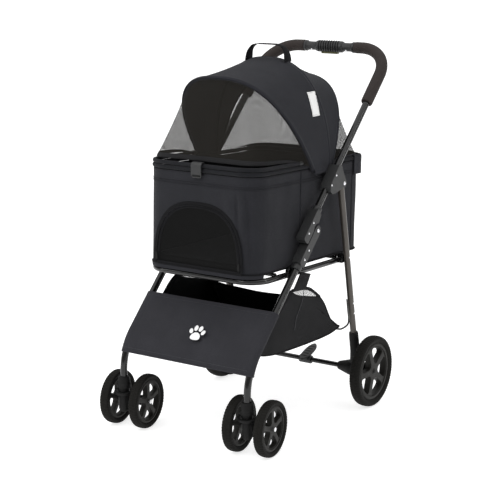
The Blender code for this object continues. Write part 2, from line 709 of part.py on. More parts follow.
def make_rear_middle():
    half = 196 * MM
    tube("rear_axle_tube", [(-half, REAR_AXLE_Y, REAR_WHEEL_R), (half, REAR_AXLE_Y, REAR_WHEEL_R)],
         AXLE_TUBE_R, "black_tube", 3)

    # Wire that holds the rear hem of the shopping basket, between the two rear legs.
    x = REAR_X - REAR_TUBE_R - 2.5 * MM - GAP
    half_path = [(x, rear_leg_y(312 * MM), 312 * MM), (x, rear_leg_y(252 * MM), 252 * MM),
                 (x - 2 * MM, rear_leg_y(236 * MM) - 6 * MM, 236 * MM),
                 (x - 8 * MM, 140 * MM, 228 * MM), (x - 20 * MM, 136 * MM, 226 * MM)]
    path = half_path + [(-px, py, pz) for px, py, pz in reversed(half_path)]
    tube("basket_rear_wire", path, 2.5 * MM, "black_tube", 2)

    # Brake pedal: a sleeve on the axle tube with a paddle across it.
    pedal = turned("brake_pedal", [
        (AXLE_TUBE_R + GAP, 19 * MM), (12 * MM, 19 * MM), (12 * MM, -19 * MM),
        (AXLE_TUBE_R + GAP, -19 * MM), (AXLE_TUBE_R + GAP, 19 * MM)], "charcoal_plastic", 20)
    pedal.rotation_euler.y = math.pi / 2
    pedal.location = (PEDAL_X, REAR_AXLE_Y, REAR_WHEEL_R)
    paddle = block("pedal_paddle", (0, 0, 0), (36 * MM, 88 * MM, 7 * MM), None, cutters, 3 * MM)
    paddle.matrix_world = Matrix.Translation((PEDAL_X, REAR_AXLE_Y, REAR_WHEEL_R)) @ \
        Matrix.Rotation(math.radians(19), 4, "X") @ Matrix.Translation((0, 17 * MM, 12.5 * MM))
    combine(pedal, hide(paddle), "UNION")


# ---------------------------------------------------------------- carrier ring
def make_ring():
    ring_h = -RING_DROP
    loop = rounded_loop(RING_X, CARRIER_FRONT_Y + 12 * MM, CARRIER_FRONT_Y + 500 * MM,
                        62 * MM, 48 * MM, 5)
    ring = mesh_from(tube("carrier_ring", [carrier_point(x, y, ring_h) for x, y in loop], RING_R,
                          "black_tube", 2, True))
    # Two cross bars carry the carrier's base.
    for name, y in (("front", -190 * MM), ("rear", 120 * MM)):
        h = -GAP - 5 * MM
        bar = cutter_bar("ring_bar_" + name, carrier_point(-RING_X, y, h),
                         carrier_point(RING_X, y, h), 5 * MM, 10)
        combine(ring, bar, "UNION")
    # Ears at the front pivot and at the rear rest. Only the front ones have a pin into the leg,
    # because the rear ones are where the folding loop is open.
    for side, sign in SIDES:
        for name, pivot, leg_face in (("pivot", RING_PIVOT, SIDE_X - TUBE_R),
                                      ("rest", RING_REST, REAR_X - REAR_TUBE_R)):
            rail_z = carrier_height(pivot[0], ring_h)
            outline = arc(pivot, 11 * MM, 0, 180, 8)
            outline += [(pivot[0] - 11 * MM, rail_z - 4 * MM), (pivot[0] + 11 * MM, rail_z - 4 * MM)]
            ear = mesh_from(plate("ring_ear_%s_%s" % (name, side), outline, sign * 182 * MM,
                                  sign * (leg_face - GAP), None, cutters))
            combine(ring, hide(ear), "UNION")
        pin = cutter_bar("ring_pin_" + side, (sign * 184 * MM, *RING_PIVOT),
                         (sign * (SIDE_X + 9 * MM), *RING_PIVOT), RING_PIN_R, 12)
        combine(ring, pin, "UNION")


# ---------------------------------------------------------------- shopping basket
def make_shopping_basket():
    x = SIDE_X - TUBE_R - 4 * MM
    profile = [(-306, 262), (-262, 246), (-200, 236), (-130, 229), (-61, 226), (20, 224),
               (100, 227), (126, 240), (100, 268), (64, 306), (30, 340), (2, 366)]
    front_edge = [(-306, 262), (-262, 292), (-230, 318), (-196, 346), (-164, 374), (-131, 388),
                  (-96, 384), (-62, 378), (-30, 372), (2, 366)]
    work = bmesh.new()
    low = {}
    for sign in (-1, 1):
        low[sign] = [work.verts.new((sign * x, y * MM, z * MM)) for y, z in profile]
    for i in range(len(profile) - 1):
        work.faces.new((low[-1][i], low[1][i], low[1][i + 1], low[-1][i + 1]))
    for sign in (-1, 1):
        rim = [low[sign][0]]
        rim += [work.verts.new((sign * x, y * MM, z * MM)) for y, z in front_edge[1:-1]]
        rim += [low[sign][-1]]
        work.faces.new(rim + list(reversed(low[sign][1:-1])))
    bmesh.ops.recalc_face_normals(work, faces=work.faces)
    mesh = bpy.data.meshes.new("shopping_basket")
    work.to_mesh(mesh)
    work.free()
    obj = place("shopping_basket", mesh, "tub_fabric", parts)
    shell = obj.modifiers.new("shell", "SOLIDIFY")
    shell.thickness = 2 * MM
    shell.offset = 0.0


# ---------------------------------------------------------------- carrier
def tub_loop(inset, steps=5):
    return rounded_loop(TUB_HALF_W - inset, CARRIER_FRONT_Y + inset,
                        CARRIER_FRONT_Y + CARRIER_LENGTH - inset,
                        TUB_FRONT_R - inset, TUB_REAR_R - inset, steps)


DOOR_HALF = 133 * MM
DOOR_TOP = 172 * MM
DOOR_LOW = 8 * MM


def door_outline(shrink):
    """Arch of the front door, (x, h) in the front wall."""
    points = hoop_arch(DOOR_HALF - shrink, DOOR_TOP - DOOR_LOW - 2 * shrink, 2.6, 18)
    return [(x, DOOR_LOW + shrink + s) for x, s in points]


def door_solid(name, shrink, y_low, y_high, material, collection):
    """The arch as a slab through the front wall."""
    work = bmesh.new()
    verts = [work.verts.new(carrier_point(x, y_low, h)) for x, h in door_outline(shrink)]
    face = work.faces.new(verts)
    rise = bmesh.ops.extrude_face_region(work, geom=[face])
    top = [v for v in rise["geom"] if isinstance(v, bmesh.types.BMVert)]
    shift = Vector(carrier_point(0, y_high, 0)) - Vector(carrier_point(0, y_low, 0))
    bmesh.ops.translate(work, verts=top, vec=shift)
    bmesh.ops.recalc_face_normals(work, faces=work.faces)
    mesh = bpy.data.meshes.new(name)
    work.to_mesh(mesh)
    work.free()
    return place(name, mesh, material, collection)


def make_tub():
    rows = []
    for h, inset in ((RIM_H - RIM_R - GAP, 0), (130 * MM, 0), (6 * MM, 0), (0, 6 * MM)):
        rows.append([carrier_point(x, y, h) for x, y in tub_loop(inset)])
    tub = surface("carrier_tub", rows, "tub_fabric", WALL, -1.0, True, True)
    hole = door_solid("door_hole", 0, CARRIER_FRONT_Y - 20 * MM, CARRIER_FRONT_Y + 20 * MM,
                      None, cutters)
    combine(tub, hide(hole), "DIFFERENCE")
    door_solid("front_door", GAP, CARRIER_FRONT_Y, CARRIER_FRONT_Y + WALL, "mesh_fabric", parts)

    loop = rounded_loop(RIM_X, CARRIER_FRONT_Y + 3 * MM, CARRIER_FRONT_Y + CARRIER_LENGTH - 3 * MM,
                        TUB_FRONT_R - 3 * MM, TUB_REAR_R - 3 * MM, 5)
    tube("rim_tube", [carrier_point(x, y, RIM_H) for x, y in loop], RIM_R, "tub_fabric", 3, True)

    # Padded mat on the floor of the cabin.
    work = bmesh.new()
    inset = 12 * MM
    lower = [work.verts.new(carrier_point(x, y, WALL + 1 * MM)) for x, y in tub_loop(inset, 4)]
    face = work.faces.new(lower)
    rise = bmesh.ops.extrude_face_region(work, geom=[face])
    top = [v for v in rise["geom"] if isinstance(v, bmesh.types.BMVert)]
    bmesh.ops.translate(work, verts=top, vec=(0, 0, 24 * MM))
    bmesh.ops.recalc_face_normals(work, faces=work.faces)
    mesh = bpy.data.meshes.new("cabin_mat")
    work.to_mesh(mesh)
    work.free()
    place("cabin_mat", mesh, "pad_fabric", parts)


def bow_points():
    """The front bow, from its left hinge round the front to its right hinge."""
    r = TUB_FRONT_R - 3 * MM
    points = [(-RIM_X, BOW_HINGE_Y)]
    points += arc((-RIM_X + r, CARRIER_FRONT_Y + 3 * MM + r), r, 180, 270, 6)
    points += arc((RIM_X - r, CARRIER_FRONT_Y + 3 * MM + r), r, 270, 360, 6)
    points += [(RIM_X, BOW_HINGE_Y)]
    return [carrier_point(x, y, BOW_H) for x, y in points]


def make_bow():
    tube("front_bow", bow_points(), BOW_R, "tub_fabric", 3)
    # Latch: a clip that hooks the bow down to the rim, at the front centre.
    latch = mesh_from(plate("rim_latch", [
        (-12 * MM, 17.2 * MM), (-12 * MM, -20 * MM), (-7 * MM, -24 * MM), (-4 * MM, -20 * MM),
        (-4.2 * MM, 14.2 * MM), (6 * MM, 14.2 * MM), (6 * MM, 17.2 * MM)],
        -16.5 * MM, 16.5 * MM, "charcoal_plastic"))
    latch.location = Vector(carrier_point(0, CARRIER_FRONT_Y, RIM_H + 4 * MM))


# ---------------------------------------------------------------- hood
def hoop_rows():
    """Wire lines of the front, middle and rear hoops."""
    steps = 22
    front = lean(hoop_arch(HOOP_X, 310 * MM, 2.6, steps), FRONT_HOOP_FOOT, 125)
    middle = lean(hoop_arch(HOOP_X, 287 * MM, 2.4, steps), HOOD_KNOB, 94)
    rear = lean(hoop_arch(HOOP_X, 254 * MM, 3.0, steps), REAR_HOOP_FOOT, 68)
    return front, middle, rear


def grown(row, amount):
    """A row of hoop points moved outwards, square to the arch's middle line."""
    made = []
    for x, y, z in row:
        out = Vector((x, y - HOOD_KNOB[0], z - HOOD_KNOB[1]))
        out = out.normalized() if out.length > 1e-6 else Vector((1, 0, 0))
        if abs(x) > HOOP_X * 0.97:
            out = Vector((math.copysign(1, x), 0, 0))
        made.append((x + out.x * amount, y + out.y * amount, z + out.z * amount))
    return made


def lifted_feet(row, share):
    """A row whose two end points are moved a share of the way to their neighbours."""
    first = Vector(row[0]).lerp(Vector(row[1]), share)
    last = Vector(row[-1]).lerp(Vector(row[-2]), share)
    return [tuple(first)] + list(row[1:-1]) + [tuple(last)]


def make_hood():
    front, middle, rear = hoop_rows()
    knob_y, knob_z = HOOD_KNOB
    inner = slice(1, -1)
    # Each hoop's wire starts on the knob line, so the hoop turns about it.
    ends = [(-HOOP_X, knob_y - 9 * MM, knob_z - 9 * MM), (HOOP_X, knob_y - 9 * MM, knob_z - 9 * MM)]
    tube("front_hoop", [ends[0]] + front + [ends[1]], HOOP_R, "canopy_fabric", 1)
    tube("middle_hoop", middle[:1] + middle[inner] + middle[-1:], HOOP_R, "canopy_fabric", 1)
    tube("rear_hoop", rear, HOOP_R, "canopy_fabric", 1)

    skin = HOOP_R + GAP + 2.2 * MM
    rows = [grown(front, skin), mix(grown(front, skin), grown(middle, skin), 0.5, 3 * MM),
            grown(middle, skin), mix(grown(middle, skin), grown(rear, skin), 0.5, 6 * MM),
            grown(rear, skin)]
    rows = [lifted_feet(row, 0.16) for row in rows]
    canopy = surface("hood_canopy", rows, "canopy_fabric", 1.6 * MM)

    # Carry strap over the middle hoop: a flat loop of webbing, sewn to the canopy.
    z = max(p[2] for p in middle) + skin + 1.5 * MM
    top = [(-64, -12), (-60, 12), (-50, 27), (-36, 33), (0, 34), (36, 33), (50, 27), (60, 12),
           (64, -12)]
    y = knob_y - 20 * MM
    rows = [[(px * MM, y + dy * MM, z + pz * MM) for px, pz in top] for dy in (-12, 12)]
    strap = surface("carry_strap", rows, None, 2 * MM)
    combine(canopy, as_cutter(strap), "UNION")


def make_mesh_panels():
    front, _, rear = hoop_rows()
    # Front mesh: from the front hoop down to the bow.
    bow = bow_points()
    even_bow = resample(bow, len(front))
    top = [towards(p, q, HOOP_R + 1.5 * MM) for p, q in zip(front, even_bow)]
    low = [towards(q, p, BOW_R + 6.5 * MM) for p, q in zip(front, even_bow)]
    rows = [[tuple(a.lerp(b, t)) for a, b in zip(top, low)] for t in (0, 0.34, 0.67, 1)]
    surface("front_mesh", [lifted_feet(row[1:-1], 0.5) for row in rows], "mesh_fabric", 1 * MM)

    # Rear mesh: from the rear hoop down to the rim.
    r = TUB_REAR_R - 3 * MM
    rear_y = CARRIER_FRONT_Y + CARRIER_LENGTH - 3 * MM
    points = [(-RIM_X, HOOD_KNOB[0] + 30 * MM)]
    points += arc((-RIM_X + r, rear_y - r), r, 180, 90, 5)
    points += arc((RIM_X - r, rear_y - r), r, 90, 0, 5)
    points += [(RIM_X, HOOD_KNOB[0] + 30 * MM)]
    rim = resample([carrier_point(x, y, RIM_H + RIM_R + 1.2 * MM) for x, y in points], len(rear))
    lifted = [(x * 0.97, y + 6 * MM, z - 3 * MM) for x, y, z in rear]
    top = [Vector(p).lerp(Vector(q), 0.04) for p, q in zip(lifted, rim)]
    rows = [[tuple(a.lerp(Vector(b), t)) for a, b in zip(top, rim)] for t in (0, 0.34, 0.67, 1)]
    surface("rear_mesh", [lifted_feet(row[1:-1], 0.5) for row in rows], "mesh_fabric", 1 * MM)


def towards(start, end, distance):
    """The point a given distance from start, on the way to end."""
    start, end = Vector(start), Vector(end)
    return start + (end - start).normalized() * distance


def resample(points, count):
    """Points at even lengths along a path."""
    total = path_length(points)
    marks = [total * i / (count - 1) for i in range(count)]
    made = []
    walked = 0.0
    k = 0
    for mark in marks:
        while k < len(points) - 2 and walked + (Vector(points[k + 1]) - Vector(points[k])).length < mark:
            walked += (Vector(points[k + 1]) - Vector(points[k])).length
            k += 1
        a, b = Vector(points[k]), Vector(points[k + 1])
        made.append(tuple(a.lerp(b, min(1.0, (mark - walked) / (b - a).length))))
    return made


SIDES = (("L", -1), ("R", 1))

clear_scene()
parts = new_collection("pet_stroller")
cutters = new_collection("cutters")
for side_name, side_sign in SIDES:
    make_front_frame(side_name, side_sign)
    make_caster(side_name, side_sign)
    make_handle_side(side_name, side_sign)
    make_rear_side(side_name, side_sign)
make_front_cloth()
make_handle()
make_rear_middle()
make_ring()
make_shopping_basket()
make_tub()
make_bow()
make_hood()
make_mesh_panels()

middle = bpy.data.objects.new("stroller_middle", None)
parts.objects.link(middle)
middle.location.y = CENTRE_SHIFT
for piece in list(parts.objects) + list(cutters.objects):
    if piece is not middle:
        piece.parent = middle
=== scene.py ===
"""The looks of a folding pet stroller: tubes, wheels, cloth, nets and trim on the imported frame."""

import math

import bmesh
import bpy
from mathutils import Matrix, Vector, noise


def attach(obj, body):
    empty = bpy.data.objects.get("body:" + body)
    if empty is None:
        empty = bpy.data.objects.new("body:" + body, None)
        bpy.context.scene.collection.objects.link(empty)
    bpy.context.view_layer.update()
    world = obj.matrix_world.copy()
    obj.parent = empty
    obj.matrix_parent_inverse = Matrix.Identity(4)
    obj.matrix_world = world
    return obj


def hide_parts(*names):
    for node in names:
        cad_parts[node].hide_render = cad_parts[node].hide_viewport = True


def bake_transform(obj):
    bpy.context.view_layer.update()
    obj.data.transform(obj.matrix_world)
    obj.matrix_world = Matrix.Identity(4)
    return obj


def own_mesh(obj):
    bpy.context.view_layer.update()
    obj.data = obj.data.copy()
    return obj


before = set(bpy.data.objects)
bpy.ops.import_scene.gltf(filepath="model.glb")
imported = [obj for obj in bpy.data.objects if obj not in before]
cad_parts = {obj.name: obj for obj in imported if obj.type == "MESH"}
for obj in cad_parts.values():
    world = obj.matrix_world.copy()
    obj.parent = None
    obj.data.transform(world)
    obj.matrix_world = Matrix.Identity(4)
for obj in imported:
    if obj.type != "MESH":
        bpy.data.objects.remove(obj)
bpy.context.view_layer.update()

MM = 0.001
SIDES = (("L", -1), ("R", 1))

# ---------------------------------------------------------------- sizes shared with the CAD
CENTRE_SHIFT = 3.8 * MM
SIDE_X = 201 * MM
TUBE_R = 9.5 * MM
REAR_X = 208 * MM
REAR_TUBE_R = 9 * MM
FOLD_PIVOT = (-39 * MM, 544 * MM)
LEG_PIVOT = (86 * MM, 655 * MM)
RING_PIVOT = (-140 * MM, 449 * MM)
RING_REST = (128 * MM, 437 * MM)
STEM_Y = -358 * MM
LEG_BEND_R = 150 * MM
LEG_TOP_U = -26 * MM
STEM_END_Z = 126 * MM
HANDLE_OFFSET = 28.3 * MM
HANDLE_LOW_U = -46 * MM
HANDLE_BAR_Z = 997 * MM
HANDLE_BEND_R = 95 * MM
SLEEVE_LOW_Z = 858 * MM
SLEEVE_R = 16.5 * MM
COLLAR_X = 84 * MM
CASTER_X = 201.4 * MM
SWIVEL = {"L": math.radians(5.9), "R": math.radians(5.3)}
TRAIL = 39.3 * MM
FRONT_WHEEL_R = 75 * MM
FRONT_WHEEL_W = 26 * MM
FRONT_WHEEL_HALF_SPACING = 45.8 * MM
REAR_AXLE_Y = 192 * MM
REAR_WHEEL_R = 101.8 * MM
REAR_WHEEL_W = 31.3 * MM
REAR_WHEEL_X = 255.1 * MM
AXLE_TUBE_R = 7 * MM
TILT = math.radians(-1.9)
CARRIER_FRONT_Y = -294 * MM
CARRIER_BASE_Z = 456 * MM
CARRIER_LENGTH = 548 * MM
TUB_HALF_W = 177 * MM
TUB_FRONT_R = 60 * MM
TUB_REAR_R = 45 * MM
TUB_MIDDLE_Y = -20 * MM
RIM_H = 265 * MM
RIM_R = 6 * MM
RIM_X = 173.5 * MM
BOW_R = 5.5 * MM
BOW_H = RIM_H + RIM_R + BOW_R + 0.3 * MM
BOW_HINGE_Y = -68 * MM
RING_X = 177 * MM
RING_R = 8 * MM
RING_DROP = 14.5 * MM
HOOD_KNOB = (63 * MM, 698 * MM)
HOOP_X = 183 * MM
HOOP_R = 2.5 * MM
FRONT_HOOP_FOOT = (-16 * MM, 697 * MM)


def mm(*points):
    """Points given in millimetres, in metres."""
    return [tuple(v * MM for v in point) for point in points]


# ---------------------------------------------------------------- node materials
class Shade:
    """One Principled material, with short names for the nodes that these materials use."""

    def __init__(self, name, color, roughness, metallic=0.0, specular=0.5):
        self.material = bpy.data.materials.new(name)
        self.material.use_nodes = True
        self.tree = self.material.node_tree
        self.shader = self.tree.nodes["Principled BSDF"]
        self.color = color
        self.set("Base Color", (*color, 1.0))
        self.set("Roughness", roughness)
        self.set("Metallic", metallic)
        self.set("Specular IOR Level", specular)
        self.material.diffuse_color = (*color, 1.0)
        self.source = self.add("ShaderNodeTexCoord").outputs["Object"]

    def add(self, kind, **settings):
        made = self.tree.nodes.new(kind)
        for key, value in settings.items():
            setattr(made, key, value)
        return made

    def feed(self, socket, value):
        if isinstance(value, bpy.types.NodeSocket):
            self.tree.links.new(value, socket)
        else:
            socket.default_value = value

    def set(self, name, value):
        self.feed(self.shader.inputs[name], value)
        return self

    def use_cloth_uv(self):
        """Read the sheet's own lengths, in metres, in place of object coordinates."""
        self.source = self.add("ShaderNodeUVMap", uv_map="cloth").outputs["UV"]
        return self

    def stretched(self, scale):
        mapping = self.add("ShaderNodeMapping")
        self.feed(mapping.inputs["Vector"], self.source)
        mapping.inputs["Scale"].default_value = scale
        return mapping.outputs["Vector"]

    def noise(self, period, detail=3.0, stretch=(1, 1, 1)):
        texture = self.add("ShaderNodeTexNoise")
        self.feed(texture.inputs["Vector"], self.stretched(stretch))
        texture.inputs["Scale"].default_value = 1 / period
        texture.inputs["Detail"].default_value = detail
        return texture.outputs["Fac"]

    def cells(self, period):
        texture = self.add("ShaderNodeTexVoronoi")
        self.feed(texture.inputs["Vector"], self.source)
        texture.inputs["Scale"].default_value = 1 / period
        return texture.outputs["Distance"]

    def ridges(self, axis, period):
        """A sine from 0 to 1 along one axis, or along X and Y together for axis DIAGONAL."""
        texture = self.add("ShaderNodeTexWave", wave_type="BANDS", bands_direction=axis)
        self.feed(texture.inputs["Vector"], self.source)
        texture.inputs["Scale"].default_value = math.pi / (10 * period)
        return texture.outputs["Fac"]

    def maths(self, operation, a, b=0.0):
        made = self.add("ShaderNodeMath", operation=operation)
        self.feed(made.inputs[0], a)
        self.feed(made.inputs[1], b)
        return made.outputs[0]

    def between(self, value, low, high):
        """value, from 0 to 1, as a number from low to high."""
        made = self.add("ShaderNodeMapRange")
        self.feed(made.inputs["Value"], value)
        made.inputs["To Min"].default_value = low
        made.inputs["To Max"].default_value = high
        return made.outputs["Result"]

    def tint(self, fac, low, high):
        """The colour times low where fac is 0, and times high where it is 1."""
        mix = self.add("ShaderNodeMix", data_type="RGBA")
        self.feed(mix.inputs["Factor"], fac)
        mix.inputs["A"].default_value = (*[c * low for c in self.color], 1.0)
        mix.inputs["B"].default_value = (*[c * high for c in self.color], 1.0)
        self.feed(self.shader.inputs["Base Color"], mix.outputs["Result"])
        return self

    def bump(self, height, depth, strength=1.0):
        """Adds a relief, on top of the reliefs added before it."""
        made = self.add("ShaderNodeBump")
        made.inputs["Distance"].default_value = depth
        made.inputs["Strength"].default_value = strength
        self.feed(made.inputs["Height"], height)
        before = self.shader.inputs["Normal"].links
        if before:
            self.feed(made.inputs["Normal"], before[0].from_socket)
        self.feed(self.shader.inputs["Normal"], made.outputs["Normal"])
        return self

    def weave(self, period, depth):
        """Crossing threads."""
        if self.source.node.type == "UVMAP":
            crossed = self.maths("MULTIPLY", self.ridges("X", period), self.ridges("Y", period))
        else:
            crossed = self.maths("ADD", self.ridges("X", period), self.ridges("Y", period))
            crossed = self.maths("ADD", crossed, self.ridges("Z", period))
        return self.bump(crossed, depth)


def powder_coat(name, color, roughness, metallic):
    made = Shade(name, color, roughness, metallic)
    made.set("Specular IOR Level", 0.3).set("Coat Weight", 0.35).set("Coat Roughness", 0.06)
    made.tint(made.noise(60 * MM), 0.8, 1.25)
    made.set("Roughness", made.between(made.noise(18 * MM, 5), roughness - 0.06, roughness + 0.1))
    return made.bump(made.noise(1.6 * MM, 2), 0.02 * MM)


def moulded(name, color, roughness=0.45, grain=0.9 * MM, specular=0.4):
    made = Shade(name, color, roughness, specular=specular)
    made.tint(made.noise(35 * MM, 4), 0.75, 1.3)
    made.set("Roughness", made.between(made.noise(9 * MM, 4), roughness - 0.08, roughness + 0.12))
    return made.bump(made.noise(grain, 2), 0.06 * MM)


def woven(name, color, period, sheen=0.06, on_sheet=True):
    made = Shade(name, color, 0.86, specular=0.08)
    if on_sheet:
        made.use_cloth_uv()
    made.set("Sheen Weight", sheen).set("Sheen Roughness", 0.45)
    patches = made.maths("MULTIPLY", made.noise(90 * MM, 4), made.noise(7 * MM, 3, (1, 3, 1)))
    made.tint(made.between(patches, -0.4, 1.6), 0.82, 1.3)
    made.weave(period, 0.14 * MM)
    return made.bump(made.noise(22 * MM, 3), 0.5 * MM, 0.6)


def net(name, color, pitch, openness):
    """Open knitted mesh: threads on two diagonals, with holes between them."""
    made = Shade(name, color, 0.8, specular=0.04).use_cloth_uv()
    turned = made.add("ShaderNodeMapping")
    made.feed(turned.inputs["Vector"], made.source)
    turned.inputs["Rotation"].default_value = (0, 0, math.radians(45))
    made.source = turned.outputs["Vector"]
    holes = made.maths("MULTIPLY", made.ridges("X", pitch), made.ridges("Y", pitch))
    uneven = made.maths("ADD", holes, made.between(made.noise(3 * MM, 2), -0.03, 0.03))
    thread = made.maths("LESS_THAN", uneven, 1 - openness ** 0.5)
    made.set("Alpha", thread)
    made.bump(holes, 0.2 * MM)
    return made


def make_materials():
    looks = {}
    looks["tube"] = powder_coat("gloss_black_tube", (0.003, 0.003, 0.003), 0.20, 0.0)
    looks["brown_tube"] = powder_coat("satin_bronze_tube", (0.060, 0.053, 0.046), 0.36, 0.35)
    looks["plastic"] = moulded("charcoal_plastic", (0.015, 0.0155, 0.016))
    looks["dark_plastic"] = moulded("dark_plastic", (0.005, 0.005, 0.005), 0.5, specular=0.16)
    looks["rim"] = moulded("rim_plastic", (0.013, 0.0125, 0.011), 0.48, specular=0.18)
    looks["button"] = moulded("olive_button", (0.075, 0.075, 0.030), 0.42, 0.5 * MM)
    foam = Shade("grip_foam", (0.021, 0.0155, 0.0138), 0.8, specular=0.35)
    foam.tint(foam.noise(25 * MM, 5), 0.7, 1.4)
    looks["foam"] = foam.bump(foam.cells(1.3 * MM), 0.25 * MM).bump(foam.noise(6 * MM, 3), 0.4 * MM)
    tyre = Shade("tyre_rubber", (0.0052, 0.0048, 0.004), 0.74, specular=0.15)
    tyre.tint(tyre.noise(14 * MM, 5), 0.7, 1.6)
    looks["tyre"] = tyre.bump(tyre.noise(0.9 * MM, 3), 0.12 * MM)
    steel = Shade("rivet_steel", (0.78, 0.78, 0.80), 0.22, 1.0)
    steel.set("Roughness", steel.between(steel.noise(2 * MM, 4), 0.16, 0.34))
    looks["steel"] = steel.bump(steel.noise(0.8 * MM), 0.03 * MM)
    looks["canopy"] = woven("canopy_fabric", (0.021, 0.0215, 0.026), 0.55 * MM)
    looks["tub"] = woven("tub_fabric", (0.021, 0.0213, 0.025), 0.7 * MM)
    looks["panel"] = woven("panel_fabric", (0.030, 0.030, 0.035), 0.6 * MM)
    looks["basket"] = woven("basket_fabric", (0.013, 0.013, 0.014), 0.7 * MM, 0.05)
    looks["lining"] = woven("lining_fabric", (0.016, 0.016, 0.017), 0.8 * MM, 0.03)
    looks["pad"] = woven("pad_fabric", (0.022, 0.023, 0.025), 1.1 * MM, 0.2, False)
    looks["piping"] = woven("piping_tape", (0.008, 0.008, 0.009), 1.0 * MM, 0.03, False)
    looks["bow_sleeve"] = woven("bow_sleeve", (0.014, 0.0145, 0.017), 0.7 * MM, 0.05, False)
    webbing = woven("webbing", (0.008, 0.008, 0.009), 1.6 * MM, 0.03)
    looks["webbing"] = webbing.bump(webbing.ridges("Y", 2.4 * MM), 0.35 * MM)
    looks["thread"] = Shade("thread", (0.040, 0.041, 0.046), 0.6)
    looks["thread"].bump(looks["thread"].ridges("DIAGONAL", 0.5 * MM), 0.1 * MM)
    looks["net"] = net("window_net", (0.021, 0.0195, 0.0172), 2.2 * MM, 0.61)
    looks["door_net"] = net("door_net", (0.008, 0.008, 0.008), 1.8 * MM, 0.22)
    label = Shade("label_satin", (0.80, 0.80, 0.79), 0.55)
    label.tint(label.noise(4 * MM), 0.94, 1.04)
    looks["label"] = label.bump(label.ridges("Z", 0.6 * MM), 0.08 * MM)
    emblem = Shade("emblem_print", (0.82, 0.82, 0.82), 0.6)
    emblem.tint(emblem.noise(1.5 * MM, 4), 0.85, 1.03)
    looks["emblem"] = emblem.bump(emblem.noise(0.7 * MM), 0.05 * MM)
    return {key: shade.material for key, shade in looks.items()}


looks = make_materials()


# ---------------------------------------------------------------- mesh building
def in_world(point):
    return Vector((point[0], point[1] + CENTRE_SHIFT, point[2]))


def link_object(name, data, look):
    obj = bpy.data.objects.new(name, data)
    bpy.context.scene.collection.objects.link(obj)
    data.materials.append(looks[look])
    return obj


def add_mesh(name, points, faces, look, sharp=40):
    """A mesh from points in the CAD script's own frame, smooth but for edges over an angle."""
    mesh = bpy.data.meshes.new(name)
    mesh.from_pydata([in_world(p) for p in points], [], faces)
    work = bmesh.new()
    work.from_mesh(mesh)
    bmesh.ops.recalc_face_normals(work, faces=work.faces)
    work.to_mesh(mesh)
    work.free()
    mesh.shade_smooth()
    mesh.set_sharp_from_angle(angle=math.radians(sharp))
    return link_object(name, mesh, look)


def joined(name, objects):
    """Several meshes as one."""
    work = bmesh.new()
    materials = []
    for obj in objects:
        for material in obj.data.materials:
            if material not in materials:
                materials.append(material)
        count = len(work.faces)
        work.from_mesh(obj.data)
        work.faces.ensure_lookup_table()
        slot = materials.index(obj.data.materials[0])
        for face in work.faces[count:]:
            face.material_index = slot
    mesh = bpy.data.meshes.new(name)
    work.to_mesh(mesh)
    work.free()
    for obj in objects:
        bpy.data.objects.remove(obj, do_unlink=True)
    made = bpy.data.objects.new(name, mesh)
    bpy.context.scene.collection.objects.link(made)
    for material in materials:
        mesh.materials.append(material)
    return made


def curve_through(points, per_span):
    """A smooth line (Catmull-Rom) through points, with per_span steps from each to the next."""
    points = [Vector(p) for p in points]
    made = []
    for i in range(len(points) - 1):
        p1, p2 = points[i], points[i + 1]
        p0 = points[i - 1] if i else 2 * p1 - p2
        p3 = points[i + 2] if i < len(points) - 2 else 2 * p2 - p1
        for k in range(per_span):
            t = k / per_span
            made.append(0.5 * (2 * p1 + (p2 - p0) * t + (2 * p0 - 5 * p1 + 4 * p2 - p3) * t * t
                               + (3 * p1 - p0 - 3 * p2 + p3) * t ** 3))
    return made + [points[-1]]


def lengths(points):
    walked = [0.0]
    for a, b in zip(points, points[1:]):
        walked.append(walked[-1] + (Vector(b) - Vector(a)).length)
    return walked


def at_length(points, walked, mark):
    mark = min(max(mark, 0.0), walked[-1])
    k = 0
    while k < len(points) - 2 and walked[k + 1] < mark:
        k += 1
    span = max(walked[k + 1] - walked[k], 1e-9)
    return Vector(points[k]).lerp(Vector(points[k + 1]), (mark - walked[k]) / span)


def evenly(points, count):
    walked = lengths(points)
    return [at_length(points, walked, walked[-1] * i / (count - 1)) for i in range(count)]


def cut_path(points, start, end):
    """The part of a path between two lengths along it."""
    walked = lengths(points)
    inside = [Vector(p) for p, w in zip(points, walked) if start < w < end]
    return [at_length(points, walked, start)] + inside + [at_length(points, walked, end)]


def quads(rings, wide, looped=False, closed=True, first=0):
    """The faces between rings of points, each of them wide points long."""
    faces = []
    for i in range(rings if looped else rings - 1):
        low, high = first + i * wide, first + (i + 1) % rings * wide
        for k in range(wide if closed else wide - 1):
            n = (k + 1) % wide
            faces.append((low + k, low + n, high + n, high + k))
    return faces


def path_frames(path, up, closed):
    """(point, side, up) along a path, turned as little as the path allows."""
    made = []
    up = Vector(up)
    count = len(path)
    for i, point in enumerate(path):
        before = path[i - 1] if closed or i else point
        after = path[(i + 1) % count] if closed or i < count - 1 else point
        ahead = (after - before).normalized()
        if abs(up.normalized().dot(ahead)) > 0.999:
            up = ahead.orthogonal()
        up = (up - ahead * up.dot(ahead)).normalized()
        made.append((point, ahead.cross(up), up))
    return made


def sweep(name, path, section, look, up=(0, 0, 1), closed=False, sharp=40, size=None):
    """A section of (side, up) offsets swept along a path. size scales it along the path."""
    path = [Vector(p) for p in path]
    points = []
    rings = path_frames(path, up, closed)
    wide = len(section)
    for i, (point, side, rise) in enumerate(rings):
        scale = size(i / (len(rings) - 1)) if size else 1.0
        points += [point + side * (a * scale) + rise * (b * scale) for a, b in section]
    faces = quads(len(rings), wide, closed)
    if not closed:
        faces.append(tuple(range(wide)))
        faces.append(tuple(range(len(points) - wide, len(points))))
    return add_mesh(name, points, faces, look, sharp)


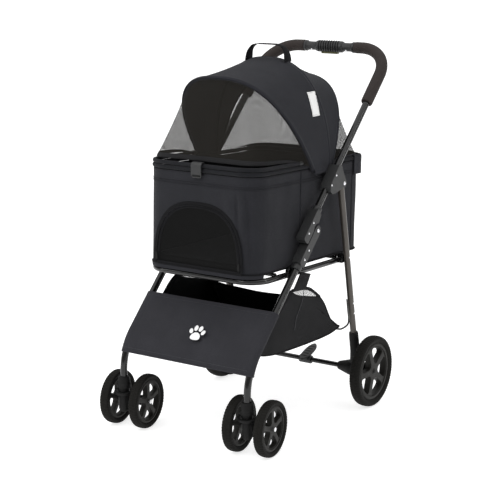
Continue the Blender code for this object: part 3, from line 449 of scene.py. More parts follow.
def circle(radius, sides, wide=1.0, tall=1.0):
    """A circle, or an oval where wide and tall differ, as (side, up) offsets."""
    turns = [2 * math.pi * k / sides for k in range(sides)]
    return [(radius * math.cos(a) * wide, radius * math.sin(a) * tall) for a in turns]


def tube(name, path, radius, look, sides=28, closed=False, up=(1, 0, 0)):
    return sweep(name, path, circle(radius, sides), look, up, closed, 50)


def flat_section(width, thickness, steps=3):
    """The section of a webbing strap: flat faces and round edges."""
    r = thickness / 2
    half = width / 2 - r
    right = [(half + r * math.cos(a), r * math.sin(a))
             for a in (math.radians(-90 + 180 * i / steps) for i in range(steps + 1))]
    return right + [(-a, -b) for a, b in right]


def lathe(name, profile, look, matrix, steps=48, sharp=32):
    """A turned piece from (radius, height) points, about its own Z."""
    points = [matrix @ Vector((x, y, z)) for r, z in profile for x, y in circle(r, steps)]
    obj = add_mesh(name, points, quads(len(profile), steps), look, sharp)
    work = bmesh.new()
    work.from_mesh(obj.data)
    bmesh.ops.remove_doubles(work, verts=work.verts, dist=1e-6)
    bmesh.ops.dissolve_degenerate(work, edges=work.edges, dist=1e-7)
    bmesh.ops.recalc_face_normals(work, faces=work.faces)
    work.to_mesh(obj.data)
    work.free()
    return obj


def slab(name, outline, low, high, look, matrix, bevel=0.8 * MM, holes=()):
    """A flat piece from an (x, y) outline, between two heights on the matrix's Z, edges rounded."""
    curve = bpy.data.curves.new(name, "CURVE")
    curve.dimensions = "2D"
    curve.fill_mode = "BOTH"
    curve.extrude = (high - low) / 2 - bevel
    curve.bevel_depth = bevel
    curve.bevel_resolution = 2
    curve.offset = -bevel
    for line in [outline, *holes]:
        spline = curve.splines.new("POLY")
        spline.points.add(len(line) - 1)
        for knot, (px, py) in zip(spline.points, line):
            knot.co = (px, py, 0, 1.0)
        spline.use_cyclic_u = True
    helper = bpy.data.objects.new(name + "_outline", curve)
    bpy.context.scene.collection.objects.link(helper)
    bpy.context.view_layer.update()
    graph = bpy.context.evaluated_depsgraph_get()
    mesh = bpy.data.meshes.new_from_object(helper.evaluated_get(graph))
    bpy.data.objects.remove(helper, do_unlink=True)
    work = bmesh.new()
    work.from_mesh(mesh)
    bmesh.ops.remove_doubles(work, verts=work.verts, dist=2e-6)
    bmesh.ops.recalc_face_normals(work, faces=work.faces)
    shift = Matrix.Translation((0, CENTRE_SHIFT, 0)) @ matrix
    bmesh.ops.transform(work, matrix=shift @ Matrix.Translation((0, 0, (high + low) / 2)),
                        verts=work.verts)
    work.to_mesh(mesh)
    work.free()
    mesh.materials.clear()
    mesh.name = name
    mesh.shade_smooth()
    mesh.set_sharp_from_angle(angle=math.radians(38))
    return link_object(name, mesh, look)


def sheet(name, rows, look, thickness=0.0, closed=False):
    """A sheet of cloth through rows of points, with its own lengths as its UV map."""
    rows = [[Vector(p) for p in row] for row in rows]
    wide = len(rows[0])
    points = [in_world(p) for row in rows for p in row]
    mesh = bpy.data.meshes.new(name)
    mesh.from_pydata(points, [], quads(len(rows), wide, closed=closed))
    middle = rows[len(rows) // 2]
    across = lengths(middle + middle[:1] if closed else middle)
    along = lengths([row[wide // 3] for row in rows])
    layer = mesh.uv_layers.new(name="cloth")
    for polygon in mesh.polygons:
        ids = [mesh.loops[j].vertex_index for j in polygon.loop_indices]
        columns = [v % wide for v in ids]
        wraps = closed and max(columns) == wide - 1 and min(columns) == 0
        for j, v in zip(polygon.loop_indices, ids):
            k = wide if wraps and v % wide == 0 else v % wide
            layer.data[j].uv = (across[k], along[v // wide])
    mesh.shade_smooth()
    obj = link_object(name, mesh, look)
    if thickness:
        shell = obj.modifiers.new("thickness", "SOLIDIFY")
        shell.thickness = thickness
        shell.offset = 0.0
    return obj


def stitches(name, path, normals, look="thread", length=3.4 * MM, gap=1.8 * MM, radius=0.38 * MM):
    """A row of sewn stitches laid on a surface along a path."""
    path = [Vector(p) for p in path]
    walked = lengths(path)
    points, faces = [], []
    mark = gap
    section = circle(1.0, 6)
    while mark + length < walked[-1]:
        start, end = at_length(path, walked, mark), at_length(path, walked, mark + length)
        share = mark / walked[-1]
        out = Vector(normals(share)).normalized()
        ahead = (end - start).normalized()
        side = ahead.cross(out).normalized()
        first = len(points)
        for t, size in ((0.0, 0.35), (0.2, 1.0), (0.8, 1.0), (1.0, 0.35)):
            middle = start.lerp(end, t) + out * radius * (0.2 + 0.5 * size)
            points += [middle + side * (a * radius * size) + out * (b * radius * size)
                       for a, b in section]
        faces += quads(4, 6, first=first)
        faces.append(tuple(range(first, first + 6)))
        faces.append(tuple(range(first + 18, first + 24)))
        mark += length + gap
    return add_mesh(name, points, faces, look)


def rounded_node(node, look, bevel=0.7 * MM):
    """Give a CAD node its material and soft edges. Its own mesh stays as it is."""
    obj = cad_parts[node]
    mesh = obj.data
    mesh.materials.clear()
    mesh.materials.append(looks[look])
    if "custom_normal" in mesh.attributes:
        mesh.attributes.remove(mesh.attributes["custom_normal"])
    weld = obj.modifiers.new("weld", "WELD")
    weld.merge_threshold = 1e-5
    edges = obj.modifiers.new("edges", "BEVEL")
    edges.width = bevel
    edges.segments = 2
    edges.limit_method = "ANGLE"
    edges.angle_limit = math.radians(34)
    edges.harden_normals = False
    mesh.shade_smooth()
    normals = obj.modifiers.new("normals", "WEIGHTED_NORMAL")
    normals.keep_sharp = True
    return obj


def arc(center, radius, start, end, steps):
    angles = [math.radians(start + (end - start) * i / steps) for i in range(steps + 1)]
    return [(center[0] + radius * math.cos(a), center[1] + radius * math.sin(a)) for a in angles]


def along_run(pivot, u, v):
    """(y, z) of a point u up the 45 degree run and v square to it, towards the front."""
    s = math.sqrt(0.5)
    return (pivot[0] + (u - v) * s, pivot[1] + (u + v) * s)


def carrier_point(x, y, h):
    """Point (x, y, h) of the carrier's own frame: y along its length, h above its base."""
    c, s = math.cos(TILT), math.sin(TILT)
    dy = y - CARRIER_FRONT_Y
    return Vector((x, CARRIER_FRONT_Y + dy * c - h * s, CARRIER_BASE_Z + dy * s + h * c))


def rounded_loop(half_w, front, rear, r_front, r_rear, steps, spacing=0.0):
    """A rounded rectangle as (x, y) points, anticlockwise, its straight sides cut up by spacing."""
    points = arc((-half_w + r_front, front + r_front), r_front, 180, 270, steps)
    points += arc((half_w - r_front, front + r_front), r_front, 270, 360, steps)
    points += arc((half_w - r_rear, rear - r_rear), r_rear, 0, 90, steps)
    points += arc((-half_w + r_rear, rear - r_rear), r_rear, 90, 180, steps)
    if not spacing:
        return points
    made = []
    for a, b in zip(points, points[1:] + points[:1]):
        parts = max(1, round(math.dist(a, b) / spacing))
        made += [(a[0] + (b[0] - a[0]) * k / parts, a[1] + (b[1] - a[1]) * k / parts)
                 for k in range(parts)]
    return made


def u_path(half_w, leg_y, center_y, r, steps):
    """Three sides of a rounded rectangle, as (x, y) points, its corners' centres at center_y."""
    middle, end = (90, 0) if center_y > leg_y else (270, 360)
    return ([(-half_w, leg_y)] + arc((-half_w + r, center_y), r, 180, middle, steps)
            + arc((half_w - r, center_y), r, middle, end, steps) + [(half_w, leg_y)])


def smooth_step(t):
    t = min(max(t, 0.0), 1.0)
    return t * t * (3 - 2 * t)


def wobble(point, size, seed):
    """Smooth noise from -1 to 1 at a point."""
    return noise.noise(Vector(point) / size + Vector((seed, 0.37 * seed, -seed)))


def mirrored(path):
    """A half path and its mirror image in X, as one path."""
    half = [Vector(p) for p in path]
    return half + [Vector((-p.x, p.y, p.z)) for p in reversed(half[:-1])]


def put(obj, body, slot=None, *nodes):
    """The piece rides a body and stands for CAD nodes, which it hides. The slot is not used."""
    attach(obj, body)
    if nodes:
        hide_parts(*nodes)
    return obj


def cut_size(obj):
    """Returns the sheet as it is."""
    return obj


def turned_to(center, axis):
    """A matrix at center, its Z along axis."""
    return Matrix.Translation(center) @ Vector(axis).to_track_quat("Z", "Y").to_matrix().to_4x4()


# ---------------------------------------------------------------- frame tubes
def front_leg_path(sign):
    x = sign * SIDE_X
    top = along_run(FOLD_PIVOT, LEG_TOP_U, 0)
    corner_z = STEM_Y - (FOLD_PIVOT[0] - FOLD_PIVOT[1])
    reach = LEG_BEND_R * math.tan(math.radians(22.5))
    bend = arc((STEM_Y + LEG_BEND_R, corner_z - reach), LEG_BEND_R, 135, 180, 16)
    path = [(x, *top)] + [(x, y, z) for y, z in bend] + [(x, STEM_Y, STEM_END_Z)]
    return [Vector(p) for p in path]


def handle_axis(u):
    return along_run(FOLD_PIVOT, u, HANDLE_OFFSET)


def handle_half_path():
    """Right half of the handle tube, from its low end to the middle of the bar."""
    top_u = (HANDLE_BAR_Z - handle_axis(0)[1]) / math.sqrt(0.5)
    center = (SIDE_X - HANDLE_BEND_R, top_u - HANDLE_BEND_R)
    points = [(SIDE_X, *handle_axis(HANDLE_LOW_U))]
    points += [(x, *handle_axis(u)) for x, u in arc(center, HANDLE_BEND_R, 0, 90, 28)]
    points.append((0, *handle_axis(top_u)))
    return [Vector(p) for p in points]


def rear_leg_y(z):
    slope = (REAR_AXLE_Y - LEG_PIVOT[0]) / (LEG_PIVOT[1] - REAR_WHEEL_R)
    return LEG_PIVOT[0] + (LEG_PIVOT[1] - z) * slope


def make_tubes():
    for side, sign in SIDES:
        leg = tube("leg_tube_" + side, front_leg_path(sign), TUBE_R, "tube")
        put(leg, "front_frame", "black_tube", "front_leg_" + side)
        x = sign * REAR_X
        high, low = LEG_PIVOT[1] + 7 * MM, 150 * MM
        path = [(x, rear_leg_y(high), high), (x, rear_leg_y(low), low)]
        leg = tube("rear_leg_tube_" + side, path, REAR_TUBE_R, "brown_tube")
        put(leg, "rear_frame", "brown_tube", "rear_leg_" + side)
    bar = tube("handle_bar", mirrored(handle_half_path()), TUBE_R, "tube")
    put(bar, "handle_frame", "black_tube", "handle_tube")
    axle = tube("axle_bar", [(-196 * MM, REAR_AXLE_Y, REAR_WHEEL_R),
                             (196 * MM, REAR_AXLE_Y, REAR_WHEEL_R)], AXLE_TUBE_R, "tube")
    put(axle, "rear_frame", "black_tube", "rear_axle_tube")
    y, z = along_run(FOLD_PIVOT, -420 * MM, 0)
    half = SIDE_X - TUBE_R - 0.3 * MM
    cross = tube("cross_bar", [(-half, y, z), (half, y, z)], 6 * MM, "tube")
    put(cross, "front_frame", "black_tube", "front_cross_tube")

    x = REAR_X - REAR_TUBE_R - 2.8 * MM
    half = [(x, rear_leg_y(z * MM), z * MM) for z in (312, 280, 252)]
    half.append((x - 2 * MM, rear_leg_y(236 * MM) - 6 * MM, 236 * MM))
    half += [(x - dx * MM, y * MM, z * MM) for dx, y, z in
             ((8, 140, 228), (20, 136, 226), (60, 134, 225), (120, 134, 225))]
    half.append((0, 134 * MM, 225 * MM))
    wire = tube("basket_wire", curve_through(mirrored(half), 8), 2.5 * MM, "tube", 16, False,
                (0, 1, 0))
    put(wire, "rear_frame", "black_tube", "basket_rear_wire")

    loop = rounded_loop(RING_X, CARRIER_FRONT_Y + 12 * MM, CARRIER_FRONT_Y + 500 * MM,
                        62 * MM, 48 * MM, 14)
    ring = [tube("ring_loop", [carrier_point(x, y, -RING_DROP) for x, y in loop], RING_R, "tube",
                 24, True, (0, 0, 1))]
    for y in (-190 * MM, 120 * MM):
        ends = [carrier_point(k * RING_X, y, -5.3 * MM) for k in (-1, 1)]
        ring.append(tube("ring_bar", ends, 5 * MM, "tube", 16))
    for side, sign in SIDES:
        for pivot, face in ((RING_PIVOT, SIDE_X - TUBE_R), (RING_REST, REAR_X - REAR_TUBE_R)):
            drop = carrier_point(0, pivot[0], -RING_DROP).z - pivot[1] - 4 * MM
            outline = arc((0, 0), 11 * MM, 0, 180, 12) + [(-11 * MM, drop), (11 * MM, drop)]
            matrix = Matrix.Translation((0, *pivot)) @ Matrix(
                ((0, 0, 1, 0), (1, 0, 0, 0), (0, 1, 0, 0), (0, 0, 0, 1)))
            low, high = sorted((sign * 182 * MM, sign * (face - 0.3 * MM)))
            ring.append(slab("ring_ear", outline, low, high, "tube", matrix))
    put(joined("carrier_ring_tube", ring), "carrier_ring", "black_tube", "carrier_ring")


# ---------------------------------------------------------------- handle
def make_handle():
    half = handle_half_path()
    total = lengths(half)[-1]
    low = (SLEEVE_LOW_Z - half[0].z) / math.sqrt(0.5)
    route = cut_path(half, low, total - COLLAR_X)
    long = lengths(route)[-1]
    marks = [0.0, 0.6 * MM, 1.5 * MM, 3 * MM, 5 * MM]
    marks += [5 * MM + (long - 10 * MM) * i / 60 for i in range(1, 60)]
    marks += [long - m for m in (5 * MM, 3 * MM, 1.5 * MM, 0.6 * MM, 0.0)]
    walked = lengths(route)
    fine = [at_length(route, walked, m) for m in marks]
    for side, sign in SIDES:
        path = [Vector((sign * p.x, p.y, p.z)) for p in fine]
        points = []
        rings = path_frames(path, (0, 0, 1), False)
        for (point, across, rise), mark in zip(rings, marks):
            d = min(mark, long - mark)
            r = SLEEVE_R - (2.2 * MM * (1 - math.sqrt(1 - (1 - d / (5 * MM)) ** 2)) if d < 5 * MM
                            else 0.0)
            r += 0.35 * MM * wobble(point, 26 * MM, 3)
            points += [point + across * (r * a) + rise * (r * b) for a, b in circle(1.0, 32)]
        faces = quads(len(rings), 32)
        faces += [tuple(range(32)), tuple(range(len(points) - 32, len(points)))]
        grip = add_mesh("foam_sleeve_" + side, points, faces, "foam", 60)
        put(grip, "handle_frame", "grip_foam", "foam_grip_" + side)

    center = half[-1]
    matrix = turned_to(center, (1, 0, 0))
    neck, end = 12.4 * MM, COLLAR_X - 0.5 * MM
    right = mm((0, 0), (16.4, 0), (16.6, 36), (16.2, 41), (14.6, 44))
    right += [(neck + 0.4 * MM, 46 * MM), (neck, 50 * MM), (neck, 66 * MM)]
    right += mm((13, 74), (14.6, 76), (15.6, 77.5), (15.6, 82)) + [(15 * MM, end), (0, end)]
    profile = [(r, -h) for r, h in reversed(right[1:])] + right[1:]
    body = [lathe("console_shell", profile, "plastic", matrix, 56)]
    # Finger ribs along the front of the housing.
    for k in range(9):
        x = (k - 4) * 8 * MM
        ridge = [center + Vector((x + 1.2 * MM * math.cos(2 * a), -16.9 * MM * math.cos(a),
                                  16.9 * MM * math.sin(a)))
                 for a in (math.radians(-48 + 8 * i) for i in range(17))]
        body.append(sweep("console_rib", ridge, circle(1.7 * MM, 10), "dark_plastic", (1, 0, 0)))
    for sign in (-1, 1):
        screw = turned_to(center + Vector((sign * 58 * MM, -8.5 * MM, -8.5 * MM)), (0, -1, -1))
        profile = mm((0, 1.6), (2, 1.3), (2.4, 0), (2.4, -1))
        body.append(lathe("console_screw", profile, "steel", screw, 20))
    put(joined("console", body), "handle_frame", "charcoal_plastic", "handle_console")
    rounded_node("release_button", "button", 1.6 * MM)


# ---------------------------------------------------------------- joints and rivets
def make_fittings():
    plain = {"fold_joint_lower": 1.6, "fold_joint_upper": 1.8, "leg_bracket": 1.8, "rear_foot": 1.2,
             "caster_socket": 0.9, "caster_fork": 1.0, "swivel_lock": 1.0}
    for name, bevel in plain.items():
        look = "plastic" if name.startswith(("fold", "leg")) else "dark_plastic"
        for side, sign in SIDES:
            rounded_node(name + "_" + side, look, bevel * MM)
    for name in ("fold_pivot", "leg_pivot", "front_axle"):
        for side, sign in SIDES:
            rounded_node(name + "_" + side, "steel", 0.4 * MM)

    head = mm((0, 2.1), (1.6, 1.8), (2.7, 0.9), (3.1, 0), (3.1, -1.2))
    spots = {
        "front_frame": (214.5, [(-80.2, 498.2), (-102, 476.5)]),
        "handle_frame": (214.5, [(-57.6, 569), (-81, 544)]),
        "bracket": (221, [(47.4, 682.5), (23.2, 658.7)]),
        "rear_frame": (217, [(117.7, 440), (145.1, 302.7), (148.7, 272.8)]),
    }
    for body, (x, places) in spots.items():
        owner = "handle_frame" if body == "bracket" else body
        for side, sign in SIDES:
            rivets = []
            for y, z in places:
                at = (sign * (x - 0.6) * MM, y * MM - CENTRE_SHIFT, z * MM)
                if body == "rear_frame":
                    at = (sign * (REAR_X + REAR_TUBE_R - 0.4 * MM), rear_leg_y(z * MM), z * MM)
                rivets.append(lathe("rivet", head, "steel", turned_to(at, (sign, 0, 0)), 20))
            put(joined("rivets_%s_%s" % (body, side), rivets), owner, "steel")
    for side, sign in SIDES:
        # A collar at the far end of each fold joint's half.
        for u, v, body in ((-123 * MM, 0, "front_frame"), (46 * MM, HANDLE_OFFSET, "handle_frame")):
            y, z = along_run(FOLD_PIVOT, u, v)
            ring = lathe("clamp_collar_%s_%s" % (body, side), [
                (TUBE_R + 0.1 * MM, -7 * MM), (12.6 * MM, -7 * MM), (13.2 * MM, -5 * MM),
                (13.2 * MM, 5 * MM), (12.6 * MM, 7 * MM), (TUBE_R + 0.1 * MM, 7 * MM)],
                "plastic", turned_to((sign * SIDE_X, y, z), (0, 1, 1)), 32)
            put(ring, body, "charcoal_plastic")

    pedal_outline = [(14 * MM * math.copysign(abs(math.cos(a)) ** 0.8, math.cos(a)) *
                      (1 - 0.18 * math.sin(a) ** 4 + 0.12 * math.cos(2 * a)),
                      17 * MM + 43 * MM * math.copysign(abs(math.sin(a)) ** 0.75, math.sin(a)))
                     for a in (2 * math.pi * k / 48 for k in range(48))]
    tilt = Matrix.Rotation(math.radians(19), 4, "X")
    at = Matrix.Translation((38 * MM, REAR_AXLE_Y, REAR_WHEEL_R)) @ tilt
    pieces = [slab("pedal_top", pedal_outline, 9 * MM, 16 * MM, "plastic", at, 2.4 * MM)]
    for k in range(5):
        y = -8 * MM + 12 * MM * k
        line = [(9 * MM, y), (9 * MM, y + 3 * MM), (-9 * MM, y + 3 * MM), (-9 * MM, y)]
        pieces.append(slab("pedal_grip", line, 15 * MM, 16.8 * MM, "dark_plastic", at, 0.6 * MM))
    sleeve = mm((7.3, -19), (11, -19), (12, -18), (12, 18), (11, 19), (7.3, 19))
    pieces.append(lathe("pedal_sleeve", sleeve, "plastic",
                        turned_to((38 * MM, REAR_AXLE_Y, REAR_WHEEL_R), (1, 0, 0)), 40))
    put(joined("brake_lever", pieces), "brake_pedal", "charcoal_plastic", "brake_pedal")


# ---------------------------------------------------------------- wheels
def make_tyre(name, radius, width, matrix):
    """A tyre with a lugged tread, about the matrix's Z."""
    h = width / 2
    half = [(0.80, 0.60), (0.815, 0.70), (0.84, 0.80), (0.875, 0.92), (0.905, 0.985), (0.93, 1.0),
            (0.952, 0.97), (0.968, 0.90), (0.980, 0.80), (0.9875, 0.68), (0.993, 0.54),
            (0.997, 0.38), (0.9995, 0.26), (1.0, 0.14), (1.0, 0.05)]
    outline = half + [(r, -z) for r, z in reversed(half)]
    lugs = round(radius / MM * 0.75)
    around = lugs * 6
    points = []
    for k in range(around):
        a = 2 * math.pi * k / around
        for r, z in outline:
            # The lugs of one side stand between those of the other.
            step = (k + (3 if z < 0 else 0)) % 6
            depth = 0.0
            if abs(z) > 0.22 and r > 0.925 and step in (0, 1):
                depth = 0.9 * MM
            if 0.10 < abs(z) < 0.2:
                depth = 0.8 * MM
            reach = radius * r - depth - 0.25 * MM
            points.append(matrix @ Vector((reach * math.cos(a), reach * math.sin(a), z * h)))
    return add_mesh(name, points, quads(around, len(outline), True), "tyre", 30)


def spoke_window(ring, hub, middle, half_spoke):
    """A window between two spokes, with round corners, as (x, y) points."""
    def edge(radius, inset):
        return math.degrees(math.asin(min(0.9, (half_spoke + inset) / radius)))
    corner = 0.10 * ring
    outer_a = 36 - edge(ring, corner)
    inner_a = 36 - edge(hub, corner * 0.5)
    points = arc((0, 0), ring, -outer_a, outer_a, 12)
    side = 36 - edge(ring - corner, 0)
    points.append(tuple(v * (ring - corner * 0.35) for v in (
        math.cos(math.radians(outer_a + (side - outer_a) * 0.75)),
        math.sin(math.radians(outer_a + (side - outer_a) * 0.75)))))
    for radius in (ring - corner, hub + corner * 0.6):
        a = math.radians(36 - edge(radius, 0))
        points.append((radius * math.cos(a), radius * math.sin(a)))
    points += arc((0, 0), hub, max(inner_a, 4), -max(inner_a, 4), 6)
    for radius in (hub + corner * 0.6, ring - corner):
        a = -math.radians(36 - edge(radius, 0))
        points.append((radius * math.cos(a), radius * math.sin(a)))
    points.append((points[13][0], -points[13][1]))
    turn = math.radians(middle)
    return [(x * math.cos(turn) - y * math.sin(turn), x * math.sin(turn) + y * math.cos(turn))
            for x, y in points]


def make_rim(name, radius, width, matrix):
    """A five-spoke rim: flange, deep spokes and a hub with a cap, about the matrix's Z."""
    h = width / 2
    seat = radius * 0.80
    ring = seat * 0.86
    hub = radius * 0.20
    outline = arc((0, 0), ring + 1 * MM, 0, 360, 90)[:-1]
    windows = [spoke_window(ring - 1.5 * MM, hub * 1.12, 72 * k, 0.085 * radius)
               for k in range(5)]
    pieces = [slab(name + "_spokes", outline, -0.60 * h, 0.60 * h, "rim", matrix, 0.9 * MM,
                   windows)]
    lip = 1.1 * MM
    half = [(ring + 0.4 * MM, 0.30 * h), (ring + 1.2 * MM, 0.60 * h),
            (ring + 2 * MM, 0.66 * h + lip), (seat - 3 * MM, 0.66 * h + lip),
            (seat - 0.6 * MM, 0.64 * h), (seat - 0.3 * MM, 0.58 * h)]
    profile = half + [(r, -z) for r, z in reversed(half)] + half[:1]
    pieces.append(lathe(name + "_flange", profile, "rim", matrix, 80))
    half = [(0, 0.70 * h), (hub * 0.30, 0.69 * h), (hub * 0.44, 0.66 * h), (hub * 0.48, 0.62 * h),
            (hub * 0.56, 0.61 * h), (hub * 0.80, 0.61 * h), (hub * 0.86, 0.56 * h)]
    profile = half + [(r, -z) for r, z in reversed(half)]
    pieces.append(lathe(name + "_hub", profile, "rim", matrix, 48))
    return joined(name, pieces)


def make_wheels():
    for side, sign in SIDES:
        matrix = turned_to((sign * REAR_WHEEL_X, REAR_AXLE_Y, REAR_WHEEL_R), (sign, 0, 0))
        body = "rear_wheel_" + side
        put(make_tyre("back_tyre_" + side, REAR_WHEEL_R, REAR_WHEEL_W, matrix), body, "tyre",
            "rear_tyre_" + side)
        put(make_rim("back_rim_" + side, REAR_WHEEL_R, REAR_WHEEL_W, matrix), body,
            "rim_plastic", "rear_rim_" + side)
        turn = Matrix.Translation((sign * CASTER_X, STEM_Y, 0)) @ Matrix.Rotation(
            SWIVEL[side], 4, "Z")
        for where, offset in (("outer", sign), ("inner", -sign)):
            label = where + "_" + side
            matrix = turn @ Matrix.Translation(
                (offset * FRONT_WHEEL_HALF_SPACING, TRAIL, FRONT_WHEEL_R)) @ Matrix.Rotation(
                math.pi / 2, 4, "Y")
            body = "front_wheel_" + label
            put(make_tyre("caster_tyre_" + label, FRONT_WHEEL_R, FRONT_WHEEL_W, matrix), body,
                "tyre", "front_tyre_" + label)
            put(make_rim("caster_rim_" + label, FRONT_WHEEL_R, FRONT_WHEEL_W, matrix),
                body, "rim_plastic", "front_rim_" + label)


# ---------------------------------------------------------------- front panel and basket
def panel_stations(count):
    """((y, z), slope in degrees) down the front legs, from the panel's top edge."""
    corner_z = STEM_Y - (FOLD_PIVOT[0] - FOLD_PIVOT[1])
    center = (STEM_Y + LEG_BEND_R, corner_z - LEG_BEND_R * math.tan(math.radians(22.5)))
    top = along_run(FOLD_PIVOT, -271 * MM, 0)
    bend = arc(center, LEG_BEND_R, 135, 159, 12)
    made = []
    for i in range(count):
        t = i / count
        y, z = [a + (b - a) * t for a, b in zip(top, bend[0])]
        made.append(((y, z), 45.0))
    for k, (y, z) in enumerate(bend):
        made.append(((y, z), 45.0 - 2.0 * k))
    return made


PANEL_WRAP = TUBE_R + 1.6 * MM
PANEL_OUT = Vector((0, -0.7, 0.7))


def make_panel():
    wrap = PANEL_WRAP
    rows = []
    stations = panel_stations(26)
    for i, ((y, z), slope) in enumerate(stations):
        a = math.radians(slope)
        normal = Vector((0, -math.cos(a), math.sin(a)))
        t = i / (len(stations) - 1)
        half = [(SIDE_X - 15 * MM, -wrap - 0.6 * MM), (SIDE_X - 4 * MM, -wrap)]
        half += [(SIDE_X + wrap * math.cos(math.radians(b)), wrap * math.sin(math.radians(b)))
                 for b in range(-80, 91, 17)]
        half += [(SIDE_X * k / 22, wrap) for k in range(21, -1, -1)]
        row = []
        for sign, part in ((1, half), (-1, list(reversed(half[:-1])))):
            for x, n in part:
                point = Vector((sign * x, y, z))
                if n > 0 and x < SIDE_X:
                    flat = 1 - (x / SIDE_X) ** 4
                    n -= 2.2 * MM * flat * math.sin(math.pi * min(1, t * 1.1))
                    n += 0.9 * MM * wobble(point, 70 * MM, 5) * flat
                    n += 0.5 * MM * wobble((x * 3, y, z), 60 * MM, 9)
                row.append(point + normal * n)
        rows.append(row)
    panel = sheet("leg_panel", rows, "panel", 1.5 * MM)
    put(panel, "front_frame", "canopy_fabric", "front_panel")
    cut_size(panel)

    trims = []
    for edge, where, inset in (("top", 0, 2), ("bottom", -1, -3)):
        row = rows[where]
        hem = [p + (rows[where + (1 if where == 0 else -1)][k] - p).normalized() * 0.5 * MM
               for k, p in enumerate(row)]
        trims.append(sweep("hem_" + edge, hem, circle(1.35 * MM, 10, 1.9),
                           "panel", (0, -0.7, 0.7)))
        line = [p + PANEL_OUT * 1.0 * MM for p in rows[inset][12:-12]]
        trims.append(stitches("hem_thread_" + edge, line, lambda t: PANEL_OUT))
    for sign in (-1, 1):
        line = [Vector((sign * (SIDE_X - 13 * MM), p.y, p.z)) + PANEL_OUT * 1.0 * MM
                for p in (row[len(row) // 2] for row in rows[1:-2])]
        trims.append(stitches("side_thread", line, lambda t: PANEL_OUT))
        # Snap fasteners on the flap behind each leg.
        for k in (4, 14, 23):
            y, z = stations[k][0]
            at = Vector((sign * (SIDE_X - 8 * MM), y, z)) - PANEL_OUT * (wrap + 0.6 * MM)
            trims.append(lathe("snap", mm((0, 2), (4, 1.8), (5, 1), (5.4, 0)),
                               "dark_plastic", turned_to(at, (0, 0.7, -0.7)), 24))
    trims = joined("panel_trim", trims)
    put(trims, "front_frame")
    # The end of a strap, which hangs just below the panel's hem.
    (y, z), slope = stations[-1]
    a = math.radians(slope)
    down = Vector((0, -math.sin(a), -math.cos(a)))
    back = Vector((0, math.cos(a), -math.sin(a)))
    tab = []
    for i in range(9):
        t = i / 8
        half = 26 * MM * math.sqrt(max(0.02, 1 - t ** 2.2))
        tab.append([Vector((126 * MM + half * k / 6, y, z)) + down * (t * 9 - 3) * MM
                    + back * (4 + 2 * t) * MM for k in range(-6, 7)])
    put(sheet("panel_tab", tab, "webbing", 1.8 * MM), "front_frame")


def make_emblem():
    """A paw print on the front panel: four toes and a pad."""
    center = Vector((14.7 * MM, -309.2 * MM - CENTRE_SHIFT, 285.5 * MM))
    out = Vector((0, -math.sqrt(0.5), math.sqrt(0.5)))
    up = Vector((0, math.sqrt(0.5), math.sqrt(0.5)))
    shapes = [(0, -7, 14.5, 11.5, 0), (-19, 6.5, 5.6, 7.6, 22), (-7.4, 16.5, 5.8, 8.4, 7),
              (7.4, 16.5, 5.8, 8.4, -7), (19, 6.5, 5.6, 7.6, -22)]
    paw = []
    for cx, cy, rx, ry, turn in shapes:
        b = math.radians(turn)
        ring = []
        for k in range(40):
            q = 2 * math.pi * k / 40
            px = rx * math.cos(q) * (1 - (0.18 * math.sin(q) if rx > 10 else 0))
            py = ry * math.sin(q) - (2.6 * math.cos(q) ** 2 * (math.sin(q) < 0) if rx > 10 else 0)
            ring.append((cx + px * math.cos(b) - py * math.sin(b), cy + px * math.sin(b)
                         + py * math.cos(b)))
        points = []
        for lift, scale in ((-0.6, 1.0), (0.12, 1.0), (0.3, 0.96)):
            for px, py in ring:
                x, v = cx + (px - cx) * scale, cy + (py - cy) * scale
                points.append(center + Vector((x * MM, 0, 0)) + up * (v * MM)
                              + out * (PANEL_WRAP + (lift - 0.15) * MM))
        faces = quads(3, 40) + [tuple(range(40)), tuple(range(80, 120))]
        paw.append(add_mesh("paw_part", points, faces, "emblem"))
    put(joined("paw_print", paw), "front_frame")


